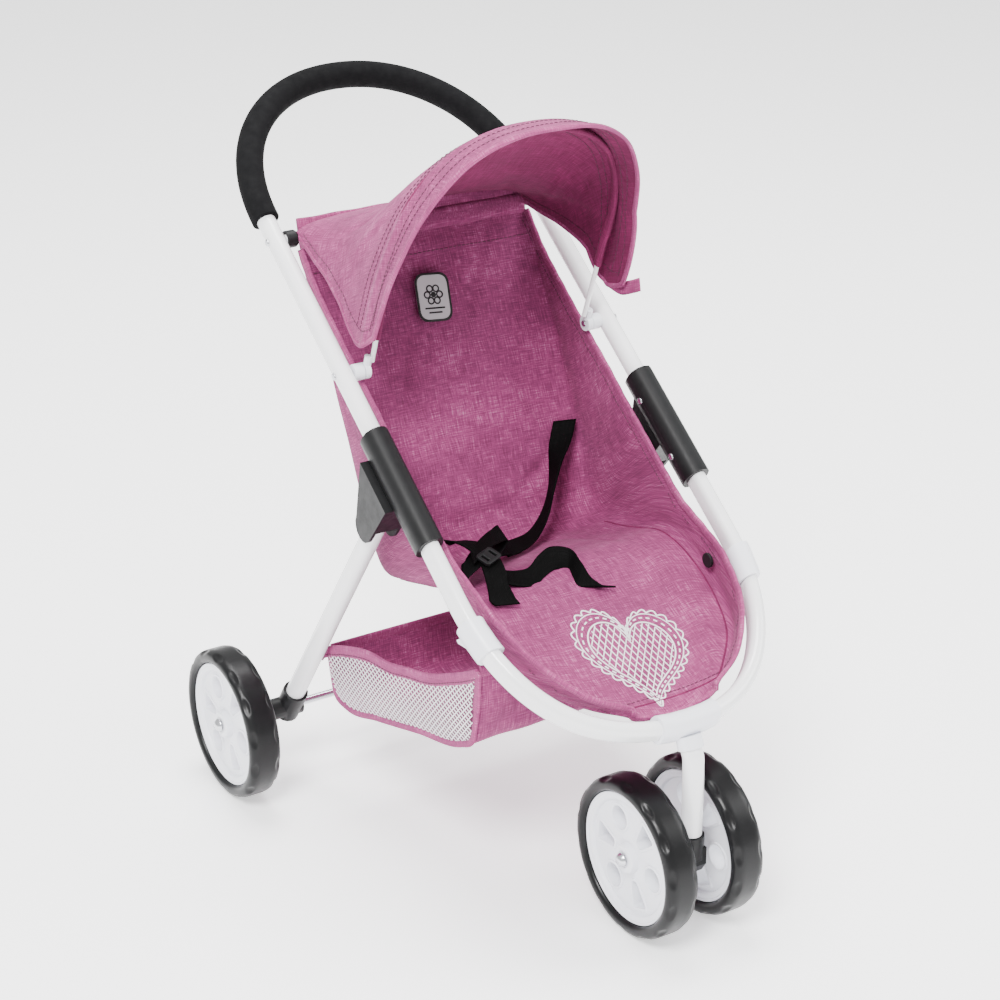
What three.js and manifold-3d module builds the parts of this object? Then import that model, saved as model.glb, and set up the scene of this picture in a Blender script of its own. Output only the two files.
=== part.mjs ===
// A three-wheeled doll stroller: a folding tube frame on a swivelling twin front wheel, with a
// fabric seat, a folding canopy on a wire bow, and a fabric basket.
//
// Millimetres, +Z up. The stroller faces -Y, and its own left side is +X. The origin is on the
// floor, midway between the front of the front tyres and the back of the handle.
import * as THREE from 'three';
import { mergeVertices } from 'three/addons/utils/BufferGeometryUtils.js';
import Module from 'manifold-3d';

const wasm = await Module();
wasm.setup();

// ---- Driving dimensions ---------------------------------------------------------------------
const GAP = 0.3; // between pieces that touch

const WHEEL_RADIUS = 62.5;
const TYRE_WIDTH = 26.8;
const RIM_RADIUS = 51.5;
const REAR_AXLE_Y = 116.7;
const REAR_WHEEL_X = 194.6;
const WHEELBASE = 338.4;
const CASTER_TRAIL = 27.1;
const FRONT_WHEEL_X = 29.6;
const WHEEL_SEGMENTS = 24;
const FRONT_AXLE_Y = REAR_AXLE_Y - WHEELBASE;
const SWIVEL_Y = FRONT_AXLE_Y - CASTER_TRAIL;

const FRAME_HALF_WIDTH = 120.6;
const FRAME_PITCH = THREE.MathUtils.degToRad(36.5);
const FRAME_ORIGIN = new THREE.Vector3(0, -53.3, 300); // where distances along the frame start

const TUBE_DIAMETER = 15;
const OVAL_WIDTH = 12;
const OVAL_HEIGHT = 19;
const TUBE_JOINT = 20; // the upper and lower tubes meet here, inside the bracket
const GRIP_START = 276.5;
const GRIP_DIAMETER = 22;
const HANDLE_REACH = 129.5;
const HANDLE_ROUNDNESS = 2.09;
const NOSE_START = -80;
const NOSE_REACH = 144;
const NOSE_ROUNDNESS = 2.22;
const NOSE_LIFT = 7;

const BRACKET_TOP = 67;
const BRACKET_BOTTOM = -34;
const BRACKET_WIDTH = 21;
const BRACKET_HEIGHT = 26;
const TOP_BAR_AT = 254;
const TOP_BAR_DIAMETER = 8;
const CANOPY_PIVOT_AT = 124;
const CLIP_AT = -115;
const CLIP_LENGTH = 28;

const LEG_DIAMETER = 16;
const LEG_PIVOT = new THREE.Vector3(124.4, -11.3, 276.3);
const LEG_FOOT = new THREE.Vector3(143.6, REAR_AXLE_Y, WHEEL_RADIUS);
const LEG_FOLD = THREE.MathUtils.degToRad(-60);
const AXLE_DIAMETER = 6.5;

const BOW_PITCH = THREE.MathUtils.degToRad(70);
const BOW_HALF_WIDTH = 97;
const BOW_HEIGHT = 195;
const BOW_WIRE = 4;

const SEAT_THICKNESS = 4;
const CANOPY_THICKNESS = 3;
const BASKET_THICKNESS = 2.5;
const BASKET_HALF_WIDTH = 117; // at its front
const BASKET_FLARE = 10; // wider again at the rear

// ---- Materials --------------------------------------------------------------------------------
const finish = (color, roughness, metalness = 0) =>
  new THREE.MeshStandardMaterial({ color, roughness, metalness });
const whitePaint = finish(0xf1f1f1, 0.3);
const whitePlastic = finish(0xe9eaf0, 0.4);
const blackPlastic = finish(0x3a3a3c, 0.55);
const blackFoam = finish(0x232325, 0.95);
const blackRubber = finish(0x2a2a2b, 0.7);
const steel = finish(0xb9b9bd, 0.3, 1);
const pinkFabric = finish(0xb5608f, 0.9);
const blackWebbing = finish(0x141416, 0.9);
const labelFabric = finish(0xded6dc, 0.8);

// ---- Solids -----------------------------------------------------------------------------------
function solid(geometry) {
  const bare = geometry.index ? geometry.toNonIndexed() : geometry.clone();
  bare.deleteAttribute('normal');
  bare.deleteAttribute('uv');
  const merged = mergeVertices(bare, 1e-4);
  return new wasm.Manifold(new wasm.Mesh({
    numProp: 3,
    vertProperties: new Float32Array(merged.attributes.position.array),
    triVerts: new Uint32Array(merged.index.array),
  }));
}

function geometryOf(manifold) {
  const mesh = manifold.getMesh();
  const geometry = new THREE.BufferGeometry();
  geometry.setAttribute('position', new THREE.BufferAttribute(mesh.vertProperties, 3));
  geometry.setIndex(new THREE.BufferAttribute(mesh.triVerts, 1));
  geometry.computeVertexNormals();
  return geometry;
}

const cut = (body, ...tools) =>
  geometryOf(tools.reduce((rest, tool) => rest.subtract(solid(tool)), solid(body)));
const join = (...bodies) => geometryOf(bodies.map(solid).reduce((whole, body) => whole.add(body)));
const overlap = (a, b) => geometryOf(solid(a).intersect(solid(b)));

function rod(from, to, diameter, sides = 16) {
  const length = from.distanceTo(to);
  const geometry = new THREE.CylinderGeometry(diameter / 2, diameter / 2, length, sides);
  const turn = new THREE.Quaternion().setFromUnitVectors(
    new THREE.Vector3(0, 1, 0), to.clone().sub(from).normalize());
  geometry.applyQuaternion(turn);
  return geometry.translate(...from.clone().add(to).multiplyScalar(0.5).toArray());
}

const crossRod = (x0, x1, y, z, diameter, sides = 16) =>
  rod(new THREE.Vector3(x0, y, z), new THREE.Vector3(x1, y, z), diameter, sides);

// Turns a profile of [radius, distance] pairs about the X axis, distance running along +X.
// A flat of the turned solid faces straight down.
function turned(profile, segments) {
  const points = profile.map(([radius, along]) => new THREE.Vector2(radius, along));
  const half = Math.PI / segments;
  const geometry = new THREE.LatheGeometry(points, segments, half);
  return geometry.rotateZ(-Math.PI / 2);
}

// A flat outline in the YZ plane, given as [y, z] pairs, made into a plate from x0 to x1.
function plate(outline, x0, x1, holes = []) {
  const shape = new THREE.Shape(outline.map(([y, z]) => new THREE.Vector2(y, z)));
  shape.holes = holes.map((hole) => new THREE.Path(hole.map(([y, z]) => new THREE.Vector2(y, z))));
  const geometry = new THREE.ExtrudeGeometry(shape, { depth: x1 - x0, bevelEnabled: false });
  const axes = new THREE.Matrix4().makeBasis(
    new THREE.Vector3(0, 1, 0), new THREE.Vector3(0, 0, 1), new THREE.Vector3(1, 0, 0));
  return geometry.applyMatrix4(axes).translate(x0, 0, 0);
}

const circle = (y, z, radius, sides) => Array.from({ length: sides }, (_, i) => {
  const angle = (2 * Math.PI * i) / sides;
  return [y + radius * Math.cos(angle), z + radius * Math.sin(angle)];
});

const roundOutline = (diameter, sides = 12) =>
  circle(0, 0, diameter / 2, sides).map(([a, b]) => new THREE.Vector2(a, b));

function ovalOutline(width, height, steps = 4) {
  const radius = width / 2;
  const points = [];
  for (const side of [1, -1]) {
    for (let i = 0; i <= steps; i += 1) {
      const angle = (Math.PI * i) / steps;
      points.push(new THREE.Vector2(
        side * radius * Math.cos(angle),
        side * (height / 2 - radius + radius * Math.sin(angle))));
    }
  }
  return points;
}

function sweep(path, outline, steps, hole) {
  const shape = new THREE.Shape(outline);
  if (hole) shape.holes = [new THREE.Path(hole)];
  return new THREE.ExtrudeGeometry(shape, { steps, extrudePath: path, bevelEnabled: false });
}

// A sheet of cloth as a closed solid: a grid of middle points, thickened along its normals.
function sheetSolid(grid, thickness) {
  const rows = grid.length;
  const columns = grid[0].length;
  const positions = [];
  const normalAt = (i, j) => {
    const along = grid[Math.min(i + 1, rows - 1)][j].clone().sub(grid[Math.max(i - 1, 0)][j]);
    const across = grid[i][Math.min(j + 1, columns - 1)].clone().sub(grid[i][Math.max(j - 1, 0)]);
    return along.cross(across).normalize();
  };
  for (const side of [1, -1]) {
    for (let i = 0; i < rows; i += 1) {
      for (let j = 0; j < columns; j += 1) {
        const point = grid[i][j].clone().addScaledVector(normalAt(i, j), (side * thickness) / 2);
        positions.push(point.x, point.y, point.z);
      }
    }
  }
  const index = [];
  const quad = (a, b, c, d) => index.push(a, b, c, a, c, d);
  const front = (i, j) => i * columns + j;
  const back = (i, j) => rows * columns + i * columns + j;
  for (let i = 0; i < rows - 1; i += 1) {
    for (let j = 0; j < columns - 1; j += 1) {
      quad(front(i, j), front(i + 1, j), front(i + 1, j + 1), front(i, j + 1));
      quad(back(i, j), back(i, j + 1), back(i + 1, j + 1), back(i + 1, j));
    }
    quad(front(i, 0), back(i, 0), back(i + 1, 0), front(i + 1, 0));
    const last = columns - 1;
    quad(front(i + 1, last), back(i + 1, last), back(i, last), front(i, last));
  }
  for (let j = 0; j < columns - 1; j += 1) {
    quad(front(0, j + 1), back(0, j + 1), back(0, j), front(0, j));
    const last = rows - 1;
    quad(front(last, j), back(last, j), back(last, j + 1), front(last, j + 1));
  }
  const geometry = new THREE.BufferGeometry();
  geometry.setAttribute('position', new THREE.Float32BufferAttribute(positions, 3));
  geometry.setIndex(index);
  geometry.computeVertexNormals();
  return geometry;
}

// ---- The frame's plane ------------------------------------------------------------------------
// x across, "along" up the slope from the frame origin, "above" square to the slope.
function onFrame(x, along, above = 0) {
  const c = Math.cos(FRAME_PITCH);
  const s = Math.sin(FRAME_PITCH);
  return FRAME_ORIGIN.clone().add(
    new THREE.Vector3(x, along * c - above * s, along * s + above * c));
}

// Both side rails and the half oval that joins them, in the frame's plane.
class FrameBow extends THREE.Curve {
  constructor(start, bend, reach, roundness = 2, lift = 0) {
    super();
    Object.assign(this, { start, bend, reach, roundness, lift });
  }

  getPoint(u) {
    const straight = Math.abs(this.bend - this.start);
    const arc = Math.PI * 0.5 * (FRAME_HALF_WIDTH + Math.abs(this.reach));
    const at = u * (2 * straight + arc);
    if (at < straight) {
      return onFrame(-FRAME_HALF_WIDTH, THREE.MathUtils.lerp(this.start, this.bend, at / straight));
    }
    if (at > straight + arc) {
      const back = (at - straight - arc) / straight;
      return onFrame(FRAME_HALF_WIDTH, THREE.MathUtils.lerp(this.bend, this.start, back));
    }
    const angle = (Math.PI * (at - straight)) / arc;
    const power = 2 / this.roundness;
    const cosine = Math.cos(angle);
    const sine = Math.max(Math.sin(angle), 0);
    return onFrame(
      -FRAME_HALF_WIDTH * Math.sign(cosine) * Math.abs(cosine) ** power,
      this.bend + this.reach * sine ** power,
      this.lift * sine ** 6);
  }
}

const handlePath = new FrameBow(TUBE_JOINT + 0.5, GRIP_START, HANDLE_REACH, HANDLE_ROUNDNESS);
const gripPath = new FrameBow(GRIP_START - 2, GRIP_START, HANDLE_REACH, HANDLE_ROUNDNESS);
const nosePath = new FrameBow(TUBE_JOINT - 0.5, NOSE_START, -NOSE_REACH, NOSE_ROUNDNESS, NOSE_LIFT);
const SIDES = [['right', -1], ['left', 1]];

// A flat slab square to the frame's rails, for cutting lengths out of a swept sleeve.
function frameSlab(x, along, width, length, height) {
  const slab = new THREE.BoxGeometry(width, length, height);
  slab.rotateX(FRAME_PITCH);
  return slab.translate(...onFrame(x, along).toArray());
}

// ---- The part ---------------------------------------------------------------------------------
const stroller = new THREE.Group();

function add(name, geometry, material) {
  const mesh = new THREE.Mesh(geometry, material);
  mesh.name = name;
  stroller.add(mesh);
}

// A dome-headed screw along X. Its head rests at x, and its shank points the way of "inward".
function screw(name, x, y, z, inward, head = 6, shank = 3, length = 5) {
  const domeHeight = head * 0.22;
  const geometry = turned([
    [0, -length], [shank / 2, -length], [shank / 2, 0.2], [head / 2, 0.2],
    [head / 2 - 0.5, domeHeight], [0, domeHeight + 0.3],
  ], 10);
  if (inward > 0) geometry.rotateZ(Math.PI);
  add(name, geometry.translate(x, y, z), steel);
}

const screwHole = (x, y, z, inward, shank = 3, length = 5) =>
  crossRod(x - inward, x + inward * (length + 0.5), y, z, shank + 2 * GAP, 12);

// -- Handle, front tube and grip
const barPoint = onFrame(0, TOP_BAR_AT);
const canopyPivot = onFrame(0, CANOPY_PIVOT_AT);
const tubeRadius = TUBE_DIAMETER / 2;

function makeTubes() {
  const holes = [];
  for (const [, side] of SIDES) {
    const face = side * (FRAME_HALF_WIDTH + tubeRadius);
    for (const point of [barPoint, canopyPivot]) {
      holes.push(crossRod(face - side * 18, face + side * 2, point.y, point.z, 3.6, 12));
    }
  }
  add('handle_tube', cut(sweep(handlePath, roundOutline(TUBE_DIAMETER), 46), ...holes), whitePaint);
  const grip = sweep(
    gripPath, roundOutline(GRIP_DIAMETER), 24, roundOutline(TUBE_DIAMETER + 4 * GAP).reverse());
  add('handle_grip', grip, blackFoam);
  add('front_tube', sweep(nosePath, ovalOutline(OVAL_WIDTH, OVAL_HEIGHT), 44), whitePaint);
}

// -- Y brackets, with the leg socket open to the front so that the leg can fold forward
const legDown = LEG_FOOT.clone().sub(LEG_PIVOT).setX(0).normalize();
const legSlope = Math.atan2(legDown.z, legDown.y);

function socketOutline() {
  const radius = 12;
  const end = LEG_PIVOT.clone().addScaledVector(legDown, 5);
  const upper = onFrame(0, 52, -8);
  const lower = onFrame(0, 6, -8);
  const points = [[lower.y, lower.z]];
  for (let i = 0; i <= 8; i += 1) {
    const angle = legSlope - Math.PI / 2 + (Math.PI * i) / 8;
    points.push([end.y + radius * Math.cos(angle), end.z + radius * Math.sin(angle)]);
  }
  points.push([upper.y, upper.z]);
  return points;
}

// The space that the leg needs from its stop to its folded place, with the pivot as its corner.
function foldSpace() {
  const clearance = LEG_DIAMETER / 2 + GAP;
  const reach = 60;
  const points = [];
  const ray = (angle, offset, distance) => [
    LEG_PIVOT.y + distance * Math.cos(angle) - offset * Math.sin(angle),
    LEG_PIVOT.z + distance * Math.sin(angle) + offset * Math.cos(angle)];
  const folded = legSlope + LEG_FOLD - 0.03;
  points.push(ray(legSlope, clearance, reach));
  for (let i = 0; i <= 6; i += 1) {
    points.push(ray(legSlope + Math.PI / 2 + ((folded - legSlope + Math.PI) * i) / 6, 0, clearance));
  }
  points.push(ray(folded, -clearance, reach));
  points.push(ray((legSlope + folded) / 2, 0, reach * 1.3));
  return points;
}

function makeBracket(side, name) {
  const socketX = side * LEG_PIVOT.x;
  const slotHalf = 9.6;
  const outerHalf = 12.4;
  const middle = (BRACKET_TOP + BRACKET_BOTTOM) / 2;
  const rail = new THREE.LineCurve3(
    onFrame(side * FRAME_HALF_WIDTH, BRACKET_BOTTOM), onFrame(side * FRAME_HALF_WIDTH, BRACKET_TOP));
  const sleeve = sweep(rail, ovalOutline(BRACKET_WIDTH, BRACKET_HEIGHT, 6), 1);
  const socket = plate(socketOutline(), socketX - outerHalf, socketX + outerHalf);
  const inner = side * (FRAME_HALF_WIDTH - BRACKET_WIDTH / 2);
  const upperBore = rod(
    onFrame(side * FRAME_HALF_WIDTH, TUBE_JOINT), onFrame(side * FRAME_HALF_WIDTH, 90),
    TUBE_DIAMETER + 3 * GAP, 16);
  const lowerBore = sweep(
    new THREE.LineCurve3(
      onFrame(side * FRAME_HALF_WIDTH, -60), onFrame(side * FRAME_HALF_WIDTH, TUBE_JOINT + 0.1)),
    ovalOutline(OVAL_WIDTH + 2 * GAP, OVAL_HEIGHT + 2 * GAP), 1);
  const slot = plate(foldSpace(), socketX - slotHalf, socketX + slotHalf);
  const pinHole = crossRod(
    socketX - side * 20, socketX + side * 11.2, LEG_PIVOT.y, LEG_PIVOT.z, 5 + 2 * GAP, 12);
  const screws = [middle - 27, middle + 27].map((along) => onFrame(0, along));
  const holes = screws.map((at) => screwHole(inner, at.y, at.z, side, 3, 1.6));
  add(`bracket_${name}`, cut(join(sleeve, socket), upperBore, lowerBore, slot, pinHole, ...holes),
    blackPlastic);
  screws.forEach((at, i) => {
    screw(`bracket_screw_${name}_${i + 1}`, inner, at.y, at.z, side, 6, 3, 1.6);
  });
  const pinLength = outerHalf + 10.6;
  screw(`leg_pivot_pin_${name}`, socketX - side * outerHalf, LEG_PIVOT.y, LEG_PIVOT.z, side,
    9, 5, pinLength);
}

// -- Bar across the top of the seat, on two plastic knobs
function makeTopBar() {
  const end = FRAME_HALF_WIDTH - tubeRadius - GAP;
  const { y, z } = barPoint;
  let bar = crossRod(-end, end, y, z, TOP_BAR_DIAMETER, 14);
  for (const [name, side] of SIDES) {
    bar = cut(bar, crossRod(side * (end - 11), side * (end + 1), y, z, 3.6, 12));
    const bore = TOP_BAR_DIAMETER / 2 + GAP;
    const knob = turned([[bore, 0], [5.6, 0], [7, 2], [7, 9.5], [bore, 9.5], [bore, 0]], 16);
    if (side < 0) knob.rotateZ(Math.PI);
    add(`top_bar_knob_${name}`, knob.translate(side * (end - 9.5), y, z), blackPlastic);
    screw(`top_bar_screw_${name}`, side * (FRAME_HALF_WIDTH + tubeRadius), y, z, -side, 6, 3, 24);
  }
  add('top_bar', bar, whitePaint);
}

// -- Canopy bow: a wire arch that turns on two bosses
function makeCanopyPivots() {
  const { y, z } = canopyPivot;
  const bossFace = 104.4;
  const tubeFace = FRAME_HALF_WIDTH - tubeRadius - GAP;
  for (const [name, side] of SIDES) {
    const boss = crossRod(side * bossFace, side * tubeFace, y, z, 13, 16);
    const outer = FRAME_HALF_WIDTH + tubeRadius;
    add(`canopy_boss_${name}`,
      cut(boss, crossRod(side * (bossFace - 1), side * (tubeFace + 1), y, z, 3.6, 12)), whitePlastic);
    screw(`canopy_boss_screw_${name}`, side * outer, y, z, -side, 6, 3, 10);
    const eye = circle(y, z, 6.5, 16);
    const ear = plate(eye, side * 101.7 - 2.4, side * 101.7 + 2.4);
    const up = new THREE.Vector3(0, -Math.cos(BOW_PITCH), Math.sin(BOW_PITCH));
    const foot = new THREE.Vector3(side * 100.9, y, z);
    const stem = rod(foot.clone().addScaledVector(up, 4), foot.clone().addScaledVector(up, 13.5), 6.2, 8);
    const eyeHole = crossRod(side * 96, side * 108, y, z, 3.6, 12);
    const wireHole = rod(foot.clone().setX(side * BOW_HALF_WIDTH).addScaledVector(up, 7.4),
      foot.clone().setX(side * BOW_HALF_WIDTH).addScaledVector(up, 20), BOW_WIRE + 2 * GAP, 8);
    add(`bow_end_${name}`, cut(join(ear, stem), eyeHole, wireHole), whitePlastic);
    screw(`canopy_pivot_screw_${name}`, side * 99.1, y, z, side, 6, 3, 12);
  }
  class BowCurve extends THREE.Curve {
    getPoint(u) {
      const straight = 0.42;
      const angle = Math.PI * THREE.MathUtils.clamp((u - 0.22) / 0.56, 0, 1);
      const below = Math.min(u, 1 - u) / 0.22;
      const rise = 8 + (BOW_HEIGHT - 8) * (u < 0.22 || u > 0.78
        ? straight * below
        : straight + (1 - straight) * Math.sin(angle) ** 0.85);
      const x = BOW_HALF_WIDTH * Math.sign(Math.cos(angle)) * Math.abs(Math.cos(angle)) ** 0.85;
      return new THREE.Vector3(
        -x, y - rise * Math.cos(BOW_PITCH), z + rise * Math.sin(BOW_PITCH));
    }
  }
  add('canopy_bow', sweep(new BowCurve(), roundOutline(BOW_WIRE, 8), 36), whitePaint);
}

// -- Clips on the front tube, each with an ear that holds a corner of the basket
function makeClips() {
  for (const [name, side] of SIDES) {
    const slab = frameSlab(side * 117, CLIP_AT, 40, CLIP_LENGTH, 60);
    const sleeve = overlap(sweep(nosePath, ovalOutline(19, 25, 6), 44), slab);
    const low = onFrame(0, CLIP_AT - 4, -9);
    const high = onFrame(0, CLIP_AT + 10, -9);
    const tip = onFrame(0, CLIP_AT + 13, -21);
    const centre = side * 117.6;
    const ear = plate([[low.y, low.z], [tip.y, tip.z - 2], [tip.y + 2, tip.z], [high.y, high.z]],
      centre - 5, centre + 5);
    const bore = sweep(nosePath, ovalOutline(OVAL_WIDTH + 2 * GAP, OVAL_HEIGHT + 2 * GAP), 44);
    add(`basket_clip_${name}`, cut(join(sleeve, ear), bore), whitePlastic);
  }
}

// -- Fork: connector sleeve on the nose of the frame and the bent tube below it
const nose = nosePath.getPoint(0.5);

function makeFork() {
  const sleeveBox = new THREE.BoxGeometry(50, 60, 60).translate(nose.x, nose.y, nose.z);
  const sleeve = overlap(sweep(nosePath, ovalOutline(18, 25, 6), 44), sleeveBox);
  const bore = sweep(nosePath, ovalOutline(OVAL_WIDTH + 2 * GAP, OVAL_HEIGHT + 2 * GAP), 44);
  const neckTop = new THREE.Vector3(0, nose.y - 3, nose.z - 8);
  const neckEnd = new THREE.Vector3(0, nose.y - 7.2, nose.z - 17);
  const neck = rod(neckTop, neckEnd, 20, 16);
  const neckDown = neckEnd.clone().sub(neckTop).normalize();
  const forkTop = neckEnd.clone().addScaledVector(neckDown, GAP);
  const screwSpots = [-17, 17];
  const above = onFrame(0, 0, 1).sub(onFrame(0, 0, 0));
  const under = (x, depth) => nose.clone().setX(x).addScaledVector(above, -depth);
  const holes = screwSpots.map((x) => rod(under(x, 18), under(x, 11.4), 3.6, 12));
  add('fork_connector', cut(join(sleeve, neck), bore, ...holes), whitePlastic);
  screwSpots.forEach((x, i) => {
    const geometry = turned([[0, 0], [1.5, 0], [1.5, -1.7], [3, -1.7], [2.5, -3], [0, -3.3]].reverse(), 12);
    geometry.rotateY(-Math.PI / 2).rotateX(FRAME_PITCH);
    add(`connector_screw_${i + 1}`, geometry.translate(...under(x, 11.4).toArray()), steel);
  });
  const forkPath = new THREE.CatmullRomCurve3([
    forkTop,
    forkTop.clone().addScaledVector(neckDown, 6),
    new THREE.Vector3(0, SWIVEL_Y + 0.6, 140),
    new THREE.Vector3(0, SWIVEL_Y, 124),
    new THREE.Vector3(0, SWIVEL_Y, 86),
  ], false, 'centripetal');
  const pinBore = rod(
    new THREE.Vector3(0, SWIVEL_Y, 80), new THREE.Vector3(0, SWIVEL_Y, 104), 8 + 2 * GAP, 12);
  add('fork_tube', cut(sweep(forkPath, roundOutline(16), 12), pinBore), whitePaint);
}

// -- Caster: housing between the twin wheels, on a vertical pin under the fork
function makeCaster() {
  const top = 85.5;
  const collar = rod(
    new THREE.Vector3(0, SWIVEL_Y, 66), new THREE.Vector3(0, SWIVEL_Y, top), 20, 16);
  const arm = plate([
    [SWIVEL_Y - 9, 62], [SWIVEL_Y - 4, 54], [FRONT_AXLE_Y + 4, 54], [FRONT_AXLE_Y + 9, 60],
    [FRONT_AXLE_Y + 8, 68], [SWIVEL_Y + 12, 76], [SWIVEL_Y - 9, 76],
  ], -8, 8);
  const boss = crossRod(-13.5, 13.5, FRONT_AXLE_Y, WHEEL_RADIUS, 17, 16);
  const axleBore = crossRod(-20, 20, FRONT_AXLE_Y, WHEEL_RADIUS, AXLE_DIAMETER + 2 * GAP, 12);
  const pinBore = rod(
    new THREE.Vector3(0, SWIVEL_Y, 70), new THREE.Vector3(0, SWIVEL_Y, 100), 8 + 2 * GAP, 12);
  add('caster_housing', cut(join(collar, arm, boss), axleBore, pinBore), blackPlastic);
  add('caster_pin', rod(
    new THREE.Vector3(0, SWIVEL_Y, 70.4), new THREE.Vector3(0, SWIVEL_Y, 103.5), 8, 12), steel);
}

// -- Wheels: a spoked plastic rim and a tyre, on a plain axle with pressed-on caps
function rimGeometry() {
  const bore = AXLE_DIAMETER / 2 + 0.4;
  const flange = 10;
  const web = 2.5;
  const hub = 12;
  const profile = [
    [bore, -hub], [10.5, -hub], [10.5, -web], [44, -web], [46, -flange], [RIM_RADIUS, -flange],
    [RIM_RADIUS, flange], [46, flange], [44, web], [10.5, web], [10.5, hub], [bore, hub],
    [bore, -hub],
  ];
  const windows = [];
  for (let i = 0; i < 3; i += 1) {
    const turn = (2 * Math.PI * i) / 3;
    const hole = circle(0, 30, 8.5, 10);
    const slit = [[-4.5, 18], [4.5, 18], [8.5, 37], [-8.5, 37]];
    windows.push(plate(hole, -5, 5).rotateX(turn));
    windows.push(plate(slit, -5, 5).rotateX(turn + Math.PI / 3));
  }
  return cut(turned(profile, WHEEL_SEGMENTS), ...windows);
}

function tyreGeometry() {
  const flat = 1 / Math.cos(Math.PI / WHEEL_SEGMENTS); // the flats, not the corners, are at the wheel's radius
  const half = TYRE_WIDTH / 2;
  const tread = WHEEL_RADIUS * flat;
  const inner = (RIM_RADIUS + GAP) * flat + 0.1;
  const profile = [
    [inner, -half + 2.2], [inner + 4, -half], [tread - 4.2, -half + 1.2], [tread, -half + 6.5],
    [tread, half - 6.5], [tread - 4.2, half - 1.2], [inner + 4, half], [inner, half - 2.2],
    [inner, -half + 2.2],
  ];
  return turned(profile, WHEEL_SEGMENTS);
}

function makeWheels() {
  const rim = rimGeometry();
  const tyre = tyreGeometry();
  const pairs = [['rear', REAR_WHEEL_X, REAR_AXLE_Y], ['front', FRONT_WHEEL_X, FRONT_AXLE_Y]];
  for (const [place, x, y] of pairs) {
    const reach = x + 12.6;
    add(`${place}_axle`, crossRod(-reach, reach, y, WHEEL_RADIUS, AXLE_DIAMETER, 12), steel);
    for (const [name, side] of SIDES) {
      const at = [side * x, y, WHEEL_RADIUS];
      add(`${place}_rim_${name}`, rim.clone().translate(...at), whitePlastic);
      add(`${place}_tyre_${name}`, tyre.clone().translate(...at), blackRubber);
      const cap = turned([[0, 0], [5.5, 0], [5.5, 1.6], [3.6, 3.4], [0, 4]], 14);
      if (side < 0) cap.rotateZ(Math.PI);
      add(`${place}_axle_cap_${name}`, cap.translate(side * (reach + GAP), y, WHEEL_RADIUS), steel);
    }
  }
}

// -- Rear legs and their feet
function makeLegs() {
  for (const [name, side] of SIDES) {
    const mirror = new THREE.Vector3(side, 1, 1);
    const pivot = LEG_PIVOT.clone().multiply(mirror);
    const foot = LEG_FOOT.clone().multiply(mirror);
    const down = foot.clone().sub(pivot).normalize();
    const end = foot.clone().addScaledVector(down, -6);
    const shaft = rod(pivot, end, LEG_DIAMETER, 16);
    const crown = new THREE.SphereGeometry(LEG_DIAMETER / 2, 12, 8);
    crown.translate(...pivot.toArray());
    const pinHole = crossRod(side * 100, side * 150, pivot.y, pivot.z, 5 + 2 * GAP, 12);
    add(`rear_leg_${name}`, cut(join(shaft, crown), pinHole), whitePaint);
    const cuff = rod(foot.clone().addScaledVector(down, -21), foot.clone().addScaledVector(down, 9), 21);
    const boss = crossRod(side * 134, side * 178, foot.y, foot.z, 18, 16);
    const legBore = rod(
      foot.clone().addScaledVector(down, -40), end.clone().addScaledVector(down, 0.4),
      LEG_DIAMETER + 2 * GAP);
    const axleBore = crossRod(side * 120, side * 190, foot.y, foot.z, AXLE_DIAMETER + 2 * GAP, 12);
    add(`rear_foot_${name}`, cut(join(cuff, boss), legBore, axleBore), blackPlastic);
  }
}

// -- Seat: one sling of cloth, from the top bar down the back, over the base and up to the nose
// Each station is [floor y, floor z, rim distance along the frame, rim height above the frame].
const SEAT_STATIONS = [
  [146, 443, 241, -1], [124, 400, 208, -8], [100, 351, 166, -10], [77, 301, 132, -10.5],
  [55, 253, 85, -10], [41, 222, 55, -11], [26, 209, 35, -11], [0, 213, 12, -11],
  [-40, 225, -15, -11], [-68, 234, -45, -10], [-95, 232, -75, -2], [-140, 211, -110, 6],
  [-172, 196, -150, 11], [-198, 186, -185, 11], [-221, 180, -203, 10],
];

function seatRimX(along) {
  const share = THREE.MathUtils.clamp((NOSE_START - along) / (NOSE_REACH - 15), 0, 0.96);
  return 104 * (1 - share ** NOSE_ROUNDNESS) ** (1 / NOSE_ROUNDNESS);
}

function makeSeat() {
  const grid = SEAT_STATIONS.map(([y, z, along, above], i) => {
    const rimX = seatRimX(along);
    const rim = onFrame(rimX, along, above);
    const floor = new THREE.Vector3(rimX * 0.93, y, z);
    const centre = new THREE.Vector3(0, i < 6 ? y + 3 : y, z);
    const half = [
      rim,
      rim.clone().lerp(floor, 0.5).setX(rimX),
      rim.clone().lerp(floor, 0.88).setX(rimX * 0.985),
      floor.clone().lerp(centre, 0.2),
      floor.clone().lerp(centre, 0.6),
    ];
    const mirrored = half.map((point) => point.clone().setX(-point.x));
    return [...half, centre, ...mirrored.reverse()];
  });
  add('seat', sheetSolid(grid, SEAT_THICKNESS), pinkFabric);
  for (const [name, side] of SIDES) {
    const snapAt = onFrame(side * 99.2, -100, -8);
    const snap = crossRod(snapAt.x - side * 2.4, snapAt.x, snapAt.y, snapAt.z, 12, 14);
    add(`seat_snap_${name}`, snap, blackPlastic);
  }
}

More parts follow.
